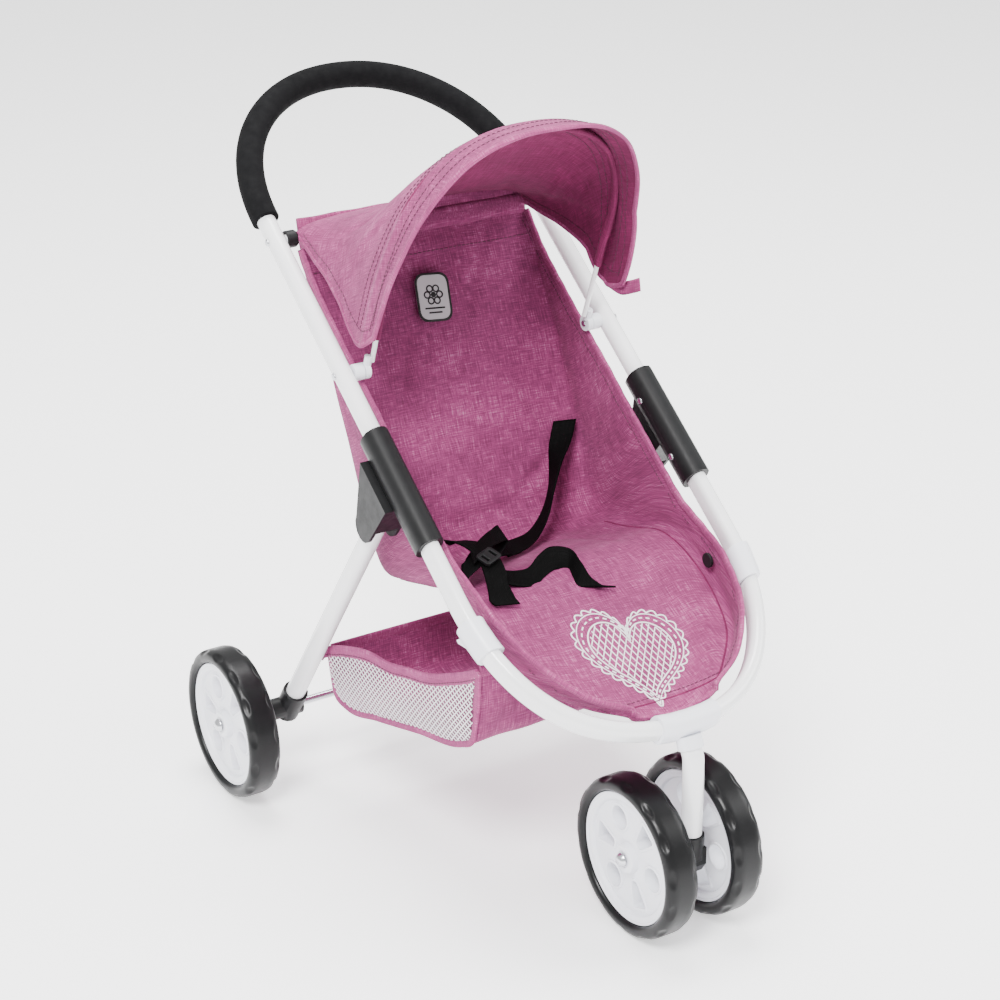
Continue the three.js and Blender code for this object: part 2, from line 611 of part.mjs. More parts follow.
// -- Woven label on the backrest and the lap strap lying in the seat
function makeTrim() {
  const backTop = new THREE.Vector2(145, 440);
  const backBottom = new THREE.Vector2(40, 226);
  const slope = backTop.clone().sub(backBottom).normalize();
  const middle = backBottom.clone().addScaledVector(slope, 184);
  const label = new THREE.BoxGeometry(30, 1.2, 39);
  label.rotateX(-Math.atan2(slope.x, slope.y));
  const lift = 5.5;
  add('label_patch',
    label.translate(0, middle.x - slope.y * lift, middle.y + slope.x * lift), labelFabric);
  const band = (width, thick) => [
    new THREE.Vector2(-width / 2, -thick / 2), new THREE.Vector2(width / 2, -thick / 2),
    new THREE.Vector2(width / 2, thick / 2), new THREE.Vector2(-width / 2, thick / 2)];
  const strapPath = new THREE.CatmullRomCurve3([
    new THREE.Vector3(84, 46, 277), new THREE.Vector3(70, 34, 262), new THREE.Vector3(50, 20, 243),
    new THREE.Vector3(28, 2, 234), new THREE.Vector3(2, -14, 234), new THREE.Vector3(-26, -30, 240),
  ]);
  add('harness_strap', sweep(strapPath, band(4, 14), 14), blackWebbing);
  const tailPath = new THREE.CatmullRomCurve3([
    new THREE.Vector3(-76, -50, 249), new THREE.Vector3(-64, -74, 248),
    new THREE.Vector3(-38, -78, 248), new THREE.Vector3(-14, -76, 252),
    new THREE.Vector3(-6, -94, 246), new THREE.Vector3(2, -114, 238),
  ]);
  add('harness_tail', sweep(tailPath, band(4, 14), 14), blackWebbing);
}

// -- Canopy: one sheet from the top bar, over the bow, to its front edge
// Each station is [side y, side z, crown y, crown z, half width].
const CANOPY_STATIONS = [
  [150, 462, 153, 464, 102], [124, 446, 114, 481, 103], [98, 432, 70, 505, 104],
  [76, 417, 32, 535, 105], [60, 402, 4, 554, 106], [44, 396, -26, 567, 107],
  [22, 408, -60, 571, 107],
];

function makeCanopy() {
  const roundness = 2 / 2.65;
  const across = 16;
  const grid = CANOPY_STATIONS.map(([sideY, sideZ, crownY, crownZ, halfWidth]) =>
    Array.from({ length: across + 1 }, (_, j) => {
      const angle = Math.PI * (j / across);
      const cosine = Math.cos(angle);
      const rise = Math.max(Math.sin(angle), 0) ** roundness;
      return new THREE.Vector3(
        halfWidth * Math.sign(cosine) * Math.abs(cosine) ** roundness,
        THREE.MathUtils.lerp(sideY, crownY, rise),
        THREE.MathUtils.lerp(sideZ, crownZ, rise));
    }));
  add('canopy_fabric', sheetSolid(grid, CANOPY_THICKNESS), pinkFabric);
}

// -- Basket: an open cloth tray between the clips and the rear legs
function makeBasket() {
  const outline = [[73, 130], [60, 84], [-136, 137], [-143, 205], [-90, 178], [-30, 160], [30, 148]];
  const t = BASKET_THICKNESS;
  const inside = [
    [73 - t, 130 + 20], [73 - t, 130], [60 - t - 0.4, 84 + t + 1], [-136 + t, 137 + t],
    [-143 + t + 0.2, 205], [-143 + t + 0.2, 240], [30, 240],
  ];
  const front = -143;
  const length = 216;
  const flared = (geometry) => {
    const points = geometry.attributes.position;
    for (let i = 0; i < points.count; i += 1) {
      const share = (points.getY(i) - front) / length;
      points.setX(i, points.getX(i) + Math.sign(points.getX(i)) * BASKET_FLARE * share);
    }
    return geometry;
  };
  const outer = flared(plate(outline, -BASKET_HALF_WIDTH, BASKET_HALF_WIDTH));
  const inner = flared(plate(inside, -BASKET_HALF_WIDTH + t, BASKET_HALF_WIDTH - t));
  add('basket', cut(outer, inner), pinkFabric);
}

makeTubes();
for (const [name, side] of SIDES) makeBracket(side, name);
makeTopBar();
makeCanopyPivots();
makeClips();
makeFork();
makeCaster();
makeWheels();
makeLegs();
makeSeat();
makeTrim();
makeCanopy();
makeBasket();

export default stroller;
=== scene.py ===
"""A three-wheeled doll stroller: the fine surfaces, the cloth and the materials, built round the
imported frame. Lengths are millimetres in the frame's own axes, and each piece turns them into
metres when its mesh is made."""

import math

import bmesh
import bpy
import numpy as np
from mathutils import Matrix, Vector
from mathutils.bvhtree import BVHTree


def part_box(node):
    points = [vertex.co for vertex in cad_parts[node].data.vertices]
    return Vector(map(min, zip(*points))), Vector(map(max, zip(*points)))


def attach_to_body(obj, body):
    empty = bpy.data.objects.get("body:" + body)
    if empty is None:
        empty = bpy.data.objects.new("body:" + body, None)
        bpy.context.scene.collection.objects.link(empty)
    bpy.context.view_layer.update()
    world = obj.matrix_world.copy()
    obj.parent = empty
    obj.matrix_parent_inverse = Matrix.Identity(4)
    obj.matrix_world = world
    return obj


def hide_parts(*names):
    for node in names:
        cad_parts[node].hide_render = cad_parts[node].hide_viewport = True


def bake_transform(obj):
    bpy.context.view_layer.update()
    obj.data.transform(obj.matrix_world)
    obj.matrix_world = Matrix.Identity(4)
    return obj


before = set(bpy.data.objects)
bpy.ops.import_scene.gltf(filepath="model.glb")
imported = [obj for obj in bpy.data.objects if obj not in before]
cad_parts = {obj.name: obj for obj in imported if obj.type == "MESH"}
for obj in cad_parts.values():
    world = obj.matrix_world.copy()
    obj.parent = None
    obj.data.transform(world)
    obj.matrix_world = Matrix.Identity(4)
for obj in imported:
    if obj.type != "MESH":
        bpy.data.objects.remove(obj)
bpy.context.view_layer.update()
MM = 0.001

# ---- Driving dimensions, as in the frame
PITCH = math.radians(36.5)
HALF_WIDTH = 120.6
ALONG = np.array([0, math.cos(PITCH), math.sin(PITCH)])
ABOVE = np.array([0, -math.sin(PITCH), math.cos(PITCH)])
FRAME_ORIGIN = np.array([0, -53.3, 300])
BAR_AT, PIVOT_AT = 254, 124
NOSE_START, NOSE_REACH, NOSE_ROUNDNESS, NOSE_LIFT = -80, 144, 2.22, 7
BOW_PITCH = math.radians(70)
SIDES = (("right", -1), ("left", 1))


def on_frame(x, along, above=0.0):
    return FRAME_ORIGIN + np.array([x, 0, 0]) + along * ALONG + above * ABOVE


def middle_of(node):
    low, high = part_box(node)
    return (np.array(low) + np.array(high)) / 2 / MM


def size_of(node):
    low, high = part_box(node)
    return (np.array(high) - np.array(low)) / MM


BAR = on_frame(0, BAR_AT)
PIVOT = on_frame(0, PIVOT_AT)
BOW_UP = np.array([0, -math.cos(BOW_PITCH), math.sin(BOW_PITCH)])
BOW_BACK = np.array([0, math.sin(BOW_PITCH), math.cos(BOW_PITCH)])


# ---- Curves and grids
def unit(v):
    v = np.asarray(v, float)
    return v / np.maximum(np.linalg.norm(v, axis=-1, keepdims=True), 1e-12)


def distances(line):
    """How far each point of a line is along it."""
    steps = np.linalg.norm(np.diff(line, axis=0), axis=1)
    return np.concatenate([[0], np.cumsum(steps)])


def smooth(rows, count, knots=None):
    """The rows resampled evenly along a smooth curve through all of them."""
    rows = np.asarray(rows, float)
    flat = rows.reshape(len(rows), -1)
    if knots is None:
        knots = distances(flat)
    slope = np.diff(flat, axis=0) / np.diff(knots)[:, None]
    gap = np.diff(knots)
    tangent = np.empty_like(flat)
    tangent[0], tangent[-1] = slope[0], slope[-1]
    weight = (gap[:-1] / (gap[:-1] + gap[1:]))[:, None]
    tangent[1:-1] = slope[:-1] * (1 - weight) + slope[1:] * weight
    at = np.linspace(knots[0], knots[-1], count)
    i = np.clip(np.searchsorted(knots, at, side="right") - 1, 0, len(gap) - 1)
    t = ((at - knots[i]) / gap[i])[:, None]
    h = gap[i][:, None]
    out = (
        (2 * t**3 - 3 * t**2 + 1) * flat[i]
        + (t**3 - 2 * t**2 + t) * h * tangent[i]
        + (3 * t**2 - 2 * t**3) * flat[i + 1]
        + (t**3 - t**2) * h * tangent[i + 1]
    )
    return out.reshape((count,) + rows.shape[1:])


def evenly(line, count):
    """A line resampled to points at even distances."""
    line = np.asarray(line, float)
    run = distances(line)
    at = np.linspace(0, run[-1], count)
    return np.stack([np.interp(at, run, line[:, k]) for k in range(line.shape[1])], axis=1)


def length_of(line):
    return float(np.linalg.norm(np.diff(line, axis=0), axis=1).sum())


def frame_bow(start, bend, reach, roundness, lift=0.0, arc=150):
    """The side rails and the half oval that joins them, in the frame's plane."""
    near = [on_frame(-HALF_WIDTH, t) for t in np.linspace(start, bend, 12, endpoint=False)]
    far = [on_frame(HALF_WIDTH, t) for t in np.linspace(bend, start, 12)[1:]]
    power = 2 / roundness
    middle = []
    for angle in np.linspace(0, math.pi, arc + 1):
        c, s = math.cos(angle), max(math.sin(angle), 0)
        x = -HALF_WIDTH * math.copysign(abs(c) ** power, c)
        middle.append(on_frame(x, bend + reach * s**power, lift * s**6))
    return np.array(near + middle + far)


def circle(radius, sides=28):
    turn = np.arange(sides) * 2 * math.pi / sides
    return np.stack([radius * np.cos(turn), radius * np.sin(turn)], axis=1)


def stadium(width, height, steps=12):
    """An oval with two straight sides, for outlines that are swept."""
    turn = np.linspace(0, math.pi, steps + 1)
    half = np.stack([width / 2 * np.cos(turn), (height - width) / 2 + width / 2 * np.sin(turn)], 1)
    return np.concatenate([half, -half])


def rounded(points, radius, steps=4, closed=True):
    """An outline with its corners rounded off, at most radius back from each corner."""
    points = np.asarray(points, float)
    out = []
    n = len(points)
    for i, p in enumerate(points):
        if not closed and i in (0, n - 1):
            out.append(p)
            continue
        a, b = points[i - 1] - p, points[(i + 1) % n] - p
        la, lb = np.linalg.norm(a), np.linalg.norm(b)
        back = min(radius, la * 0.45, lb * 0.45)
        start, end = p + a / la * back, p + b / lb * back
        for t in np.linspace(0, 1, steps + 1):
            out.append((1 - t) ** 2 * start + 2 * t * (1 - t) * p + t**2 * end)
    return np.array(out)


def merge(*parts):
    """Several (points, faces) as one."""
    points, faces, start = [], [], 0
    for p, f in parts:
        points.append(np.asarray(p, float))
        faces += [tuple(i + start for i in face) for face in f]
        start += len(p)
    return np.concatenate(points), faces


def sweep(path, outline, up, grow=None):
    """(points, faces) of an outline carried along a path. Its second axis follows up."""
    path = np.asarray(path, float)
    tangent = unit(np.gradient(path, axis=0))
    up = np.broadcast_to(np.asarray(up, float), path.shape)
    across = unit(np.cross(tangent, up))
    top = np.cross(across, tangent)
    outline = np.asarray(outline, float)
    grow = np.ones(len(path)) if grow is None else np.asarray(grow, float)
    ring = (
        across[:, None] * outline[None, :, 0, None] + top[:, None] * outline[None, :, 1, None]
    ) * grow[:, None, None]
    points = (path[:, None] + ring).reshape(-1, 3)
    n, m = len(path), len(outline)
    faces = []
    for i in range(n - 1):
        for j in range(m):
            a, b, k = i * m, (i + 1) * m, (j + 1) % m
            faces.append((a + j, a + k, b + k, b + j))
    faces += [tuple(range(m))[::-1], tuple(range((n - 1) * m, n * m))]
    return points, faces


def mirrored(half, radius, steps):
    """A closed profile of [radius, distance] pairs that is the same on both sides, rounded."""
    loop = rounded(list(half) + [[r, -x] for r, x in half[::-1]], radius, steps)
    return np.vstack([loop, loop[:1]])


def lathe(profile, centre, axis, sides=48, wave=None):
    """(points, faces) of [radius, distance] pairs turned about an axis through centre."""
    profile = np.asarray(profile, float)
    axis = unit(axis)
    side = unit(np.cross(axis, (0, 0, 1) if abs(axis[2]) < 0.9 else (0, 1, 0)))
    other = np.cross(axis, side)
    points = []
    for k in range(sides):
        turn = 2 * math.pi * k / sides
        shape = profile if wave is None else wave(profile, turn)
        ray = side * math.cos(turn) + other * math.sin(turn)
        points.append(centre + shape[:, :1] * ray + shape[:, 1:] * axis)
    m = len(profile)
    closed = np.allclose(profile[0], profile[-1])
    if closed:
        m -= 1
        points = [ring[:-1] for ring in points]
    faces = []
    for k in range(sides):
        a, b = k * m, ((k + 1) % sides) * m
        for j in range(m if closed else m - 1):
            i = (j + 1) % m
            faces.append((a + j, a + i, b + i, b + j))
    return np.concatenate(points), faces


def plate(outline, holes, half, bevel, place):
    """(points, faces) of a flat outline with holes, half thick each way, edges rounded.
    place turns (across, up, out) of the outline's plane into the frame's axes."""
    curve = bpy.data.curves.new("outline", "CURVE")
    curve.dimensions = "2D"
    curve.fill_mode = "BOTH"
    curve.extrude = (half - bevel) * MM
    curve.bevel_depth = bevel * MM
    curve.bevel_resolution = 2
    for loop in [outline] + list(holes):
        spline = curve.splines.new("POLY")
        spline.points.add(len(loop) - 1)
        for point, (u, v) in zip(spline.points, loop):
            point.co = (u * MM, v * MM, 0, 1)
        spline.use_cyclic_u = True
    holder = bpy.data.objects.new("outline", curve)
    bpy.context.scene.collection.objects.link(holder)
    mesh = bpy.data.meshes.new_from_object(
        holder.evaluated_get(bpy.context.evaluated_depsgraph_get()))
    points = np.array([v.co for v in mesh.vertices]) / MM
    faces = [tuple(p.vertices) for p in mesh.polygons]
    bpy.data.objects.remove(holder)
    bpy.data.curves.remove(curve)
    bpy.data.meshes.remove(mesh)
    return place(points), faces


def grid_faces(rows, columns):
    return [
        (i * columns + j, (i + 1) * columns + j, (i + 1) * columns + j + 1, i * columns + j + 1)
        for i in range(rows - 1) for j in range(columns - 1)
    ]


def grid_normals(grid):
    return unit(np.cross(np.gradient(grid, axis=0), np.gradient(grid, axis=1)))


def cloth_coordinates(grid):
    """Each point's distance across and along the cloth."""
    def run(axis):
        step = np.linalg.norm(np.diff(grid, axis=axis), axis=2)
        shape = list(grid.shape[:2])
        shape[axis] = 1
        return np.concatenate([np.zeros(shape), np.cumsum(step, axis=axis)], axis=axis)
    across, along = run(1), run(0)
    across -= across[:, grid.shape[1] // 2][:, None]
    return np.stack([across, along, np.zeros_like(along)], axis=2)


def at_grid(grid, row, column):
    """The points of a grid at fractional rows and columns."""
    row = np.clip(row, 0, grid.shape[0] - 1.0001)
    column = np.clip(column, 0, grid.shape[1] - 1.0001)
    i, j = np.floor(row).astype(int), np.floor(column).astype(int)
    a, b = (row - i)[:, None], (column - j)[:, None]
    low = grid[i, j] * (1 - b) + grid[i, j + 1] * b
    high = grid[i + 1, j] * (1 - b) + grid[i + 1, j + 1] * b
    return low * (1 - a) + high * a


# ---- Materials
def link(tree, source, target):
    tree.links.new(source, target)


def node(tree, kind, inputs=(), **settings):
    made = tree.nodes.new(kind)
    for key, value in settings.items():
        setattr(made, key, value)
    for key, value in dict(inputs).items():
        if isinstance(value, bpy.types.NodeSocket):
            link(tree, value, made.inputs[key])
        else:
            made.inputs[key].default_value = value
    return made


def ramp(tree, factor, stops):
    made = node(tree, "ShaderNodeValToRGB")
    elements = made.color_ramp.elements
    while len(elements) < len(stops):
        elements.new(0.5)
    for element, (at, color) in zip(elements, stops):
        element.position = at
        element.color = (*color, 1) if len(color) == 3 else color
    link(tree, factor, made.inputs["Fac"])
    return made.outputs["Color"]


def shader_material(name, color, roughness, **sockets):
    material = bpy.data.materials.new(name)
    material.use_nodes = True
    tree = material.node_tree
    shader = tree.nodes["Principled BSDF"]
    shader.inputs["Base Color"].default_value = (*color, 1)
    shader.inputs["Roughness"].default_value = roughness
    for key, value in sockets.items():
        shader.inputs[key.replace("_", " ")].default_value = value
    return material, tree, shader


def bump(tree, shader, height, strength, distance, before=None):
    made = node(tree, "ShaderNodeBump", {
        "Height": height, "Strength": strength, "Distance": distance * MM})
    if before is not None:
        link(tree, before, made.inputs["Normal"])
    link(tree, made.outputs["Normal"], shader.inputs["Normal"])
    return made.outputs["Normal"]


def object_noise(tree, scale, detail=3.0, roughness=0.55):
    """Noise with about scale features in a millimetre."""
    place = node(tree, "ShaderNodeTexCoord").outputs["Object"]
    made = node(tree, "ShaderNodeTexNoise", {
        "Vector": place, "Scale": scale / MM, "Detail": detail, "Roughness": roughness})
    return made.outputs["Fac"]


def moulded(name, color, roughness, grain=1.1, depth=0.05, tint=0.06, **sockets):
    """Plastic, paint, rubber or foam: slight colour change, uneven gloss and a fine grain."""
    material, tree, shader = shader_material(name, color, roughness, **sockets)
    broad = object_noise(tree, 0.02, 2)
    darker = tuple(c * (1 - tint) for c in color)
    lighter = tuple(min(1, c * (1 + tint * 0.6)) for c in color)
    link(tree, ramp(tree, broad, [(0.3, darker), (0.7, lighter)]), shader.inputs["Base Color"])
    fine = object_noise(tree, 0.15, 4)
    low, high = roughness * 0.85, min(1, roughness * 1.15)
    rough = ramp(tree, fine, [(0.3, (low,) * 3), (0.7, (high,) * 3)])
    link(tree, rough, shader.inputs["Roughness"])
    bump(tree, shader, object_noise(tree, grain, 3), 0.5, depth)
    return material


def woven(name, shades, pitch=0.75, slub=1.0, depth=0.12, roughness=0.85, sheen=0.2,
          tint=(1, 1, 1), shine=0.25):
    """Cloth of slubbed yarn. Its coordinates are millimetres across and along the cloth."""
    material, tree, shader = shader_material(
        name, shades[1], roughness, Sheen_Weight=sheen, Sheen_Roughness=0.45,
        Sheen_Tint=(*tint, 1), Specular_IOR_Level=shine)
    place = node(tree, "ShaderNodeAttribute", attribute_name="cloth").outputs["Vector"]

    def yarn(scale, seed):
        stretched = node(tree, "ShaderNodeMapping", {
            "Vector": place, "Scale": scale, "Location": (seed, seed * 0.37, 0)})
        return node(tree, "ShaderNodeTexNoise", {
            "Vector": stretched.outputs["Vector"], "Scale": 1.0, "Detail": 3.0,
            "Roughness": 0.62}).outputs["Fac"]

    weft = yarn((0.055 * slub, 0.95 * slub, 1), 3.1)
    warp = yarn((0.95 * slub, 0.05 * slub, 1), 17.3)
    patch = yarn((0.018, 0.026, 1), 41.7)
    both = node(tree, "ShaderNodeMath", {0: weft, 1: warp}, operation="ADD").outputs[0]
    broad = node(tree, "ShaderNodeMath", {0: patch, 1: 0.5}, operation="MULTIPLY").outputs[0]
    mixed = node(tree, "ShaderNodeMath", {0: both, 1: broad}, operation="ADD").outputs[0]
    scaled = node(tree, "ShaderNodeMath", {0: mixed, 1: 0.4}, operation="MULTIPLY").outputs[0]
    color = ramp(tree, scaled, list(zip((0.40, 0.48, 0.545, 0.64), shades)))
    link(tree, color, shader.inputs["Base Color"])

    def threads(axis, phase):
        return node(tree, "ShaderNodeTexWave", {
            "Vector": place, "Scale": 0.314 / pitch, "Distortion": 0.6, "Detail": 1.0,
            "Detail Scale": 0.7, "Phase Offset": phase}, bands_direction=axis).outputs["Fac"]

    over = node(tree, "ShaderNodeMath", {0: threads("X", 0.0), 1: threads("Y", 1.6)},
                operation="MULTIPLY").outputs[0]
    height = node(tree, "ShaderNodeMath", {0: over, 1: scaled}, operation="ADD").outputs[0]
    bump(tree, shader, height, 0.7, depth)
    return material


def shade(factor, base):
    return tuple(min(1, c * factor) for c in base)


PINK = (0.215, 0.033, 0.112)
paint = moulded("white_paint", (0.86, 0.86, 0.87), 0.24, 0.25, 0.012, 0.015,
                Coat_Weight=0.5, Coat_Roughness=0.12)
plastic_white = moulded("white_plastic", (0.80, 0.81, 0.86), 0.33, 0.5, 0.02, 0.03,
                        Specular_IOR_Level=0.5)
plastic_black = moulded("black_plastic", (0.0085, 0.0085, 0.009), 0.42, 0.9, 0.06, 0.15,
                        Specular_IOR_Level=0.2)
foam = moulded("grip_foam", (0.0045, 0.0045, 0.005), 0.92, 0.75, 0.35, 0.2, Specular_IOR_Level=0.1)
rubber = moulded("tyre_rubber", (0.0050, 0.0050, 0.0055), 0.33, 0.6, 0.04, 0.2,
                 Specular_IOR_Level=0.22)
steel = moulded("plated_steel", (0.62, 0.63, 0.66), 0.24, 0.6, 0.01, 0.06, Metallic=1.0)
PALE_YARN = (0.50, 0.16, 0.32)
pink_shades = [shade(0.62, PINK), shade(0.92, PINK), shade(1.3, PINK), PALE_YARN]
pink = woven("pink_cloth", pink_shades, slub=1.35, sheen=0.10, tint=(1.0, 0.6, 0.8))
pink_light = woven("pink_binding", [shade(0.85, PINK), shade(1.1, PINK), shade(1.45, PINK),
                                    (0.46, 0.17, 0.30)], slub=1.4, sheen=0.10,
                   tint=(1.0, 0.6, 0.8))
# A darker copy of the pink cloth, used on the canopy's underside, the wire casing and the seat's
# floor corner: painted shade.
PAINTED_SHADE_PINK = (0.125, 0.011, 0.053)
painted_shade_pink = woven("painted_shade_pink_cloth", [shade(0.7, PAINTED_SHADE_PINK), PAINTED_SHADE_PINK, shade(1.25, PAINTED_SHADE_PINK),
                                 shade(2.0, PAINTED_SHADE_PINK)], sheen=0.03, tint=(1.0, 0.6, 0.8))
webbing = woven("black_webbing", [(0.0006, 0.0006, 0.0006), (0.001, 0.001, 0.001),
                                  (0.0018, 0.0018, 0.0018), (0.004, 0.004, 0.0042)],
                pitch=1.3, depth=0.25, roughness=0.7, sheen=0.0, shine=0.06)
thread = moulded("sewing_thread", (0.085, 0.018, 0.045), 0.7, 1.5, 0.03, 0.1)
net_white = moulded("net_thread", (0.72, 0.66, 0.70), 0.6, 1.5, 0.03, 0.05)
print_white = moulded("print_white", (0.80, 0.74, 0.78), 0.75, 1.5, 0.04, 0.08)
label_white = moulded("label_white", (0.45, 0.43, 0.45), 0.7, 1.3, 0.05, 0.03)
label_black = moulded("label_black", (0.004, 0.004, 0.004), 0.7, 1.3, 0.05, 0.1)


# ---- Pieces
def attach(piece, body, slot=None, stands_for=()):
    """The piece rides on one body; given (a, b, start, end) it is only fixed where it stands, and
    no blend is made.
    """
    if isinstance(body, str):
        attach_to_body(piece, body)
    else:
        a, b, start, end = body
        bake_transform(piece)
        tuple(start)
        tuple(end)
    if stands_for:
        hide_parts(*stands_for)
    return piece


def mesh_of(name, points, faces, place=None):
    """A mesh, with the cloth coordinates that the woven materials read."""
    mesh = bpy.data.meshes.new(name)
    mesh.from_pydata((np.asarray(points).reshape(-1, 3) * MM).tolist(), [], faces)
    if place is not None:
        layer = mesh.attributes.new("cloth", "FLOAT_VECTOR", "POINT")
        layer.data.foreach_set("vector", place.reshape(-1).astype(np.float32))
    return mesh


def turn_outwards(mesh, join=0.0):
    """Joins the points that are closer than join, in metres, and turns the faces outwards."""
    work = bmesh.new()
    work.from_mesh(mesh)
    if join:
        bmesh.ops.remove_doubles(work, verts=work.verts, dist=join)
    bmesh.ops.recalc_face_normals(work, faces=work.faces)
    work.to_mesh(mesh)
    work.free()


def show(name, mesh, material, angle):
    """An object of the mesh, smooth but for the edges sharper than angle."""
    mesh.materials.append(material)
    piece = bpy.data.objects.new(name, mesh)
    bpy.context.scene.collection.objects.link(piece)
    mesh.polygons.foreach_set("use_smooth", [True] * len(mesh.polygons))
    mesh.set_sharp_from_angle(angle=math.radians(angle))
    return piece


def make_piece(name, shape, material, body, slot=None, stands_for=(), angle=40):
    """A closed piece from (points, faces)."""
    mesh = mesh_of(name, *shape)
    turn_outwards(mesh, 1e-6)
    return attach(show(name, mesh, material, angle), body, slot, stands_for)


def make_cloth(name, grid, material, body, thickness, slot="pink_fabric", stands_for=(),
               coordinates=None, under=None):
    """A sheet of cloth from a grid of points, thickened evenly about them. Its lower face
    can have another material, under."""
    place = cloth_coordinates(grid) if coordinates is None else coordinates
    mesh = mesh_of(name, grid, grid_faces(*grid.shape[:2]), place)
    piece = attach(show(name, mesh, material, 80), body, slot, stands_for)
    solid = piece.modifiers.new("thickness", "SOLIDIFY")
    solid.thickness = thickness * MM
    solid.offset = 0
    if under is not None:
        mesh.materials.append(under)
        faces_up = grid_normals(grid)[:, :, 2].mean() > 0
        if faces_up:
            solid.material_offset = 1
        else:
            mesh.polygons.foreach_set("material_index", [1] * len(mesh.polygons))
            solid.material_offset = -1
    return piece


def make_band(name, path, outline, up, material, body, slot="pink_fabric"):
    """A hem, binding or roll of cloth swept along a path, with the weave running along it."""
    place = np.zeros((len(path), len(outline), 3))
    place[:, :, 0] = distances(path)[:, None]
    place[:, :, 1] = distances(np.vstack([outline, outline[:1]]))[:-1]
    mesh = mesh_of(name, *sweep(path, outline, up), place)
    turn_outwards(mesh)
    return attach(show(name, mesh, material, 50), body, slot)


def stitches(line, normals, length=2.7, gap=1.3, radius=0.34):
    """(points, faces) of sewn dashes along a line on a surface."""
    count = max(2, int(length_of(line) / (length + gap)))
    fine = evenly(line, count * 4 + 1)
    above = evenly(np.hstack([line, unit(normals)]), count * 4 + 1)[:, 3:]
    outline = circle(radius, 6)
    parts = []
    for k in range(count):
        i = k * 4
        dash = fine[i:i + 4].copy()
        share = length / (length + gap) * 4 / 3
        dash = dash[0] + (dash - dash[0]) * share
        lift = np.array([-0.1, 0.32, 0.32, -0.1])[:, None]
        dash = dash + unit(above[i:i + 4]) * lift
        parts.append(sweep(dash, outline, above[i:i + 4]))
    return merge(*parts)


def refined(name, material, body, slot, bevel=0.6, angle=32):
    """A smooth-shaded copy of a CAD node with its edges rounded."""
    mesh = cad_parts[name].data.copy()
    work = bmesh.new()
    work.from_mesh(mesh)
    bmesh.ops.remove_doubles(work, verts=work.verts, dist=2e-6)
    bmesh.ops.dissolve_limit(
        work, angle_limit=math.radians(0.8), verts=work.verts, edges=work.edges)
    work.to_mesh(mesh)
    work.free()
    mesh.materials.clear()
    piece = attach(show(name + "_fine", mesh, material, angle + 4), body, slot, (name,))
    edge = piece.modifiers.new("rounded_edges", "BEVEL")
    edge.width = bevel * MM
    edge.segments = 3
    edge.limit_method = "ANGLE"
    edge.angle_limit = math.radians(angle)
    edge.harden_normals = True
    return piece


# ---- Tubes, bars and brackets
handle_path = frame_bow(20.5, 276.5, 129.5, 2.09)
grip_path = frame_bow(274.5, 276.5, 129.5, 2.09)
nose_path = frame_bow(19.5, NOSE_START, -NOSE_REACH, NOSE_ROUNDNESS, NOSE_LIFT)


def make_tubes():
    make_piece("handle_tube_fine", sweep(handle_path, circle(7.5, 32), ABOVE), paint, "frame",
               "painted_tube", ("handle_tube",))
    make_piece("front_tube_fine", sweep(nose_path, stadium(12, 19), ABOVE), paint, "frame",
               "painted_tube", ("front_tube",))
    grow = np.ones(len(grip_path))
    for i, share in enumerate((0.86, 0.94, 0.985)):
        grow[i] = grow[-1 - i] = share
    grip = make_piece("handle_grip_foam", sweep(grip_path, circle(11, 36), ABOVE, grow), foam,
                      "frame", "grip_foam", ("handle_grip",))
    half = size_of("top_bar")[0] / 2
    bar = rounded([[0, -half], [4, -half], [4, half], [0, half]], 0.5, closed=False)
    make_piece("top_bar_fine", lathe(bar, BAR, (1, 0, 0), 32), paint, "frame",
               "painted_tube", ("top_bar",))


# Each row is [name, material, body, slot, bevel] of a piece that is there once on each side.
PAIRED_PIECES = [
    ["bracket", plastic_black, "frame", "black_plastic", 1.1],
    ["top_bar_knob", plastic_black, "frame", "black_plastic", 0.7],
    ["canopy_boss", plastic_white, "frame", "white_plastic", 0.6],
    ["basket_clip", plastic_white, "frame", "white_plastic", 0.9],
    ["bow_end", plastic_white, "canopy_bow", "white_plastic", 0.5],
    ["rear_foot", plastic_black, "rear_legs", "black_plastic", 0.9],
    ["seat_snap", plastic_black, "frame", "black_plastic", 0.5],
]
SCREW_BEVEL = 0.25


def make_hard_pieces():
    for side_name, _ in SIDES:
        for kind, material, body, slot, bevel in PAIRED_PIECES:
            refined(f"{kind}_{side_name}", material, body, slot, bevel)
        for kind in ("leg_pivot_pin", "top_bar_screw", "canopy_boss_screw", "canopy_pivot_screw"):
            refined(f"{kind}_{side_name}", steel, "frame", "steel", SCREW_BEVEL)
        for i in (1, 2):
            refined(f"bracket_screw_{side_name}_{i}", steel, "frame", "steel", SCREW_BEVEL)
    refined("fork_connector", plastic_white, "frame", "white_plastic", 0.9)
    for i in (1, 2):
        refined(f"connector_screw_{i}", steel, "frame", "steel", SCREW_BEVEL)
    refined("caster_housing", plastic_black, "caster", "black_plastic", 1.0)
    refined("caster_pin", steel, "caster", "steel", 0.3)


def make_fork():
    nose = nose_path[len(nose_path) // 2]
    top = np.array([0, nose[1] - 3, nose[2] - 8])
    end = np.array([0, nose[1] - 7.2, nose[2] - 17])
    down = unit(end - top)
    swivel_y = middle_of("caster_pin")[1]
    path = smooth([end + down * 0.3, end + down * 6, [0, swivel_y + 0.6, 140],
                   [0, swivel_y, 124], [0, swivel_y, 86.1]], 60)
    make_piece("fork_tube_fine", sweep(path, circle(8, 32), (1, 0, 0)), paint, "frame",
               "painted_tube", ("fork_tube",))


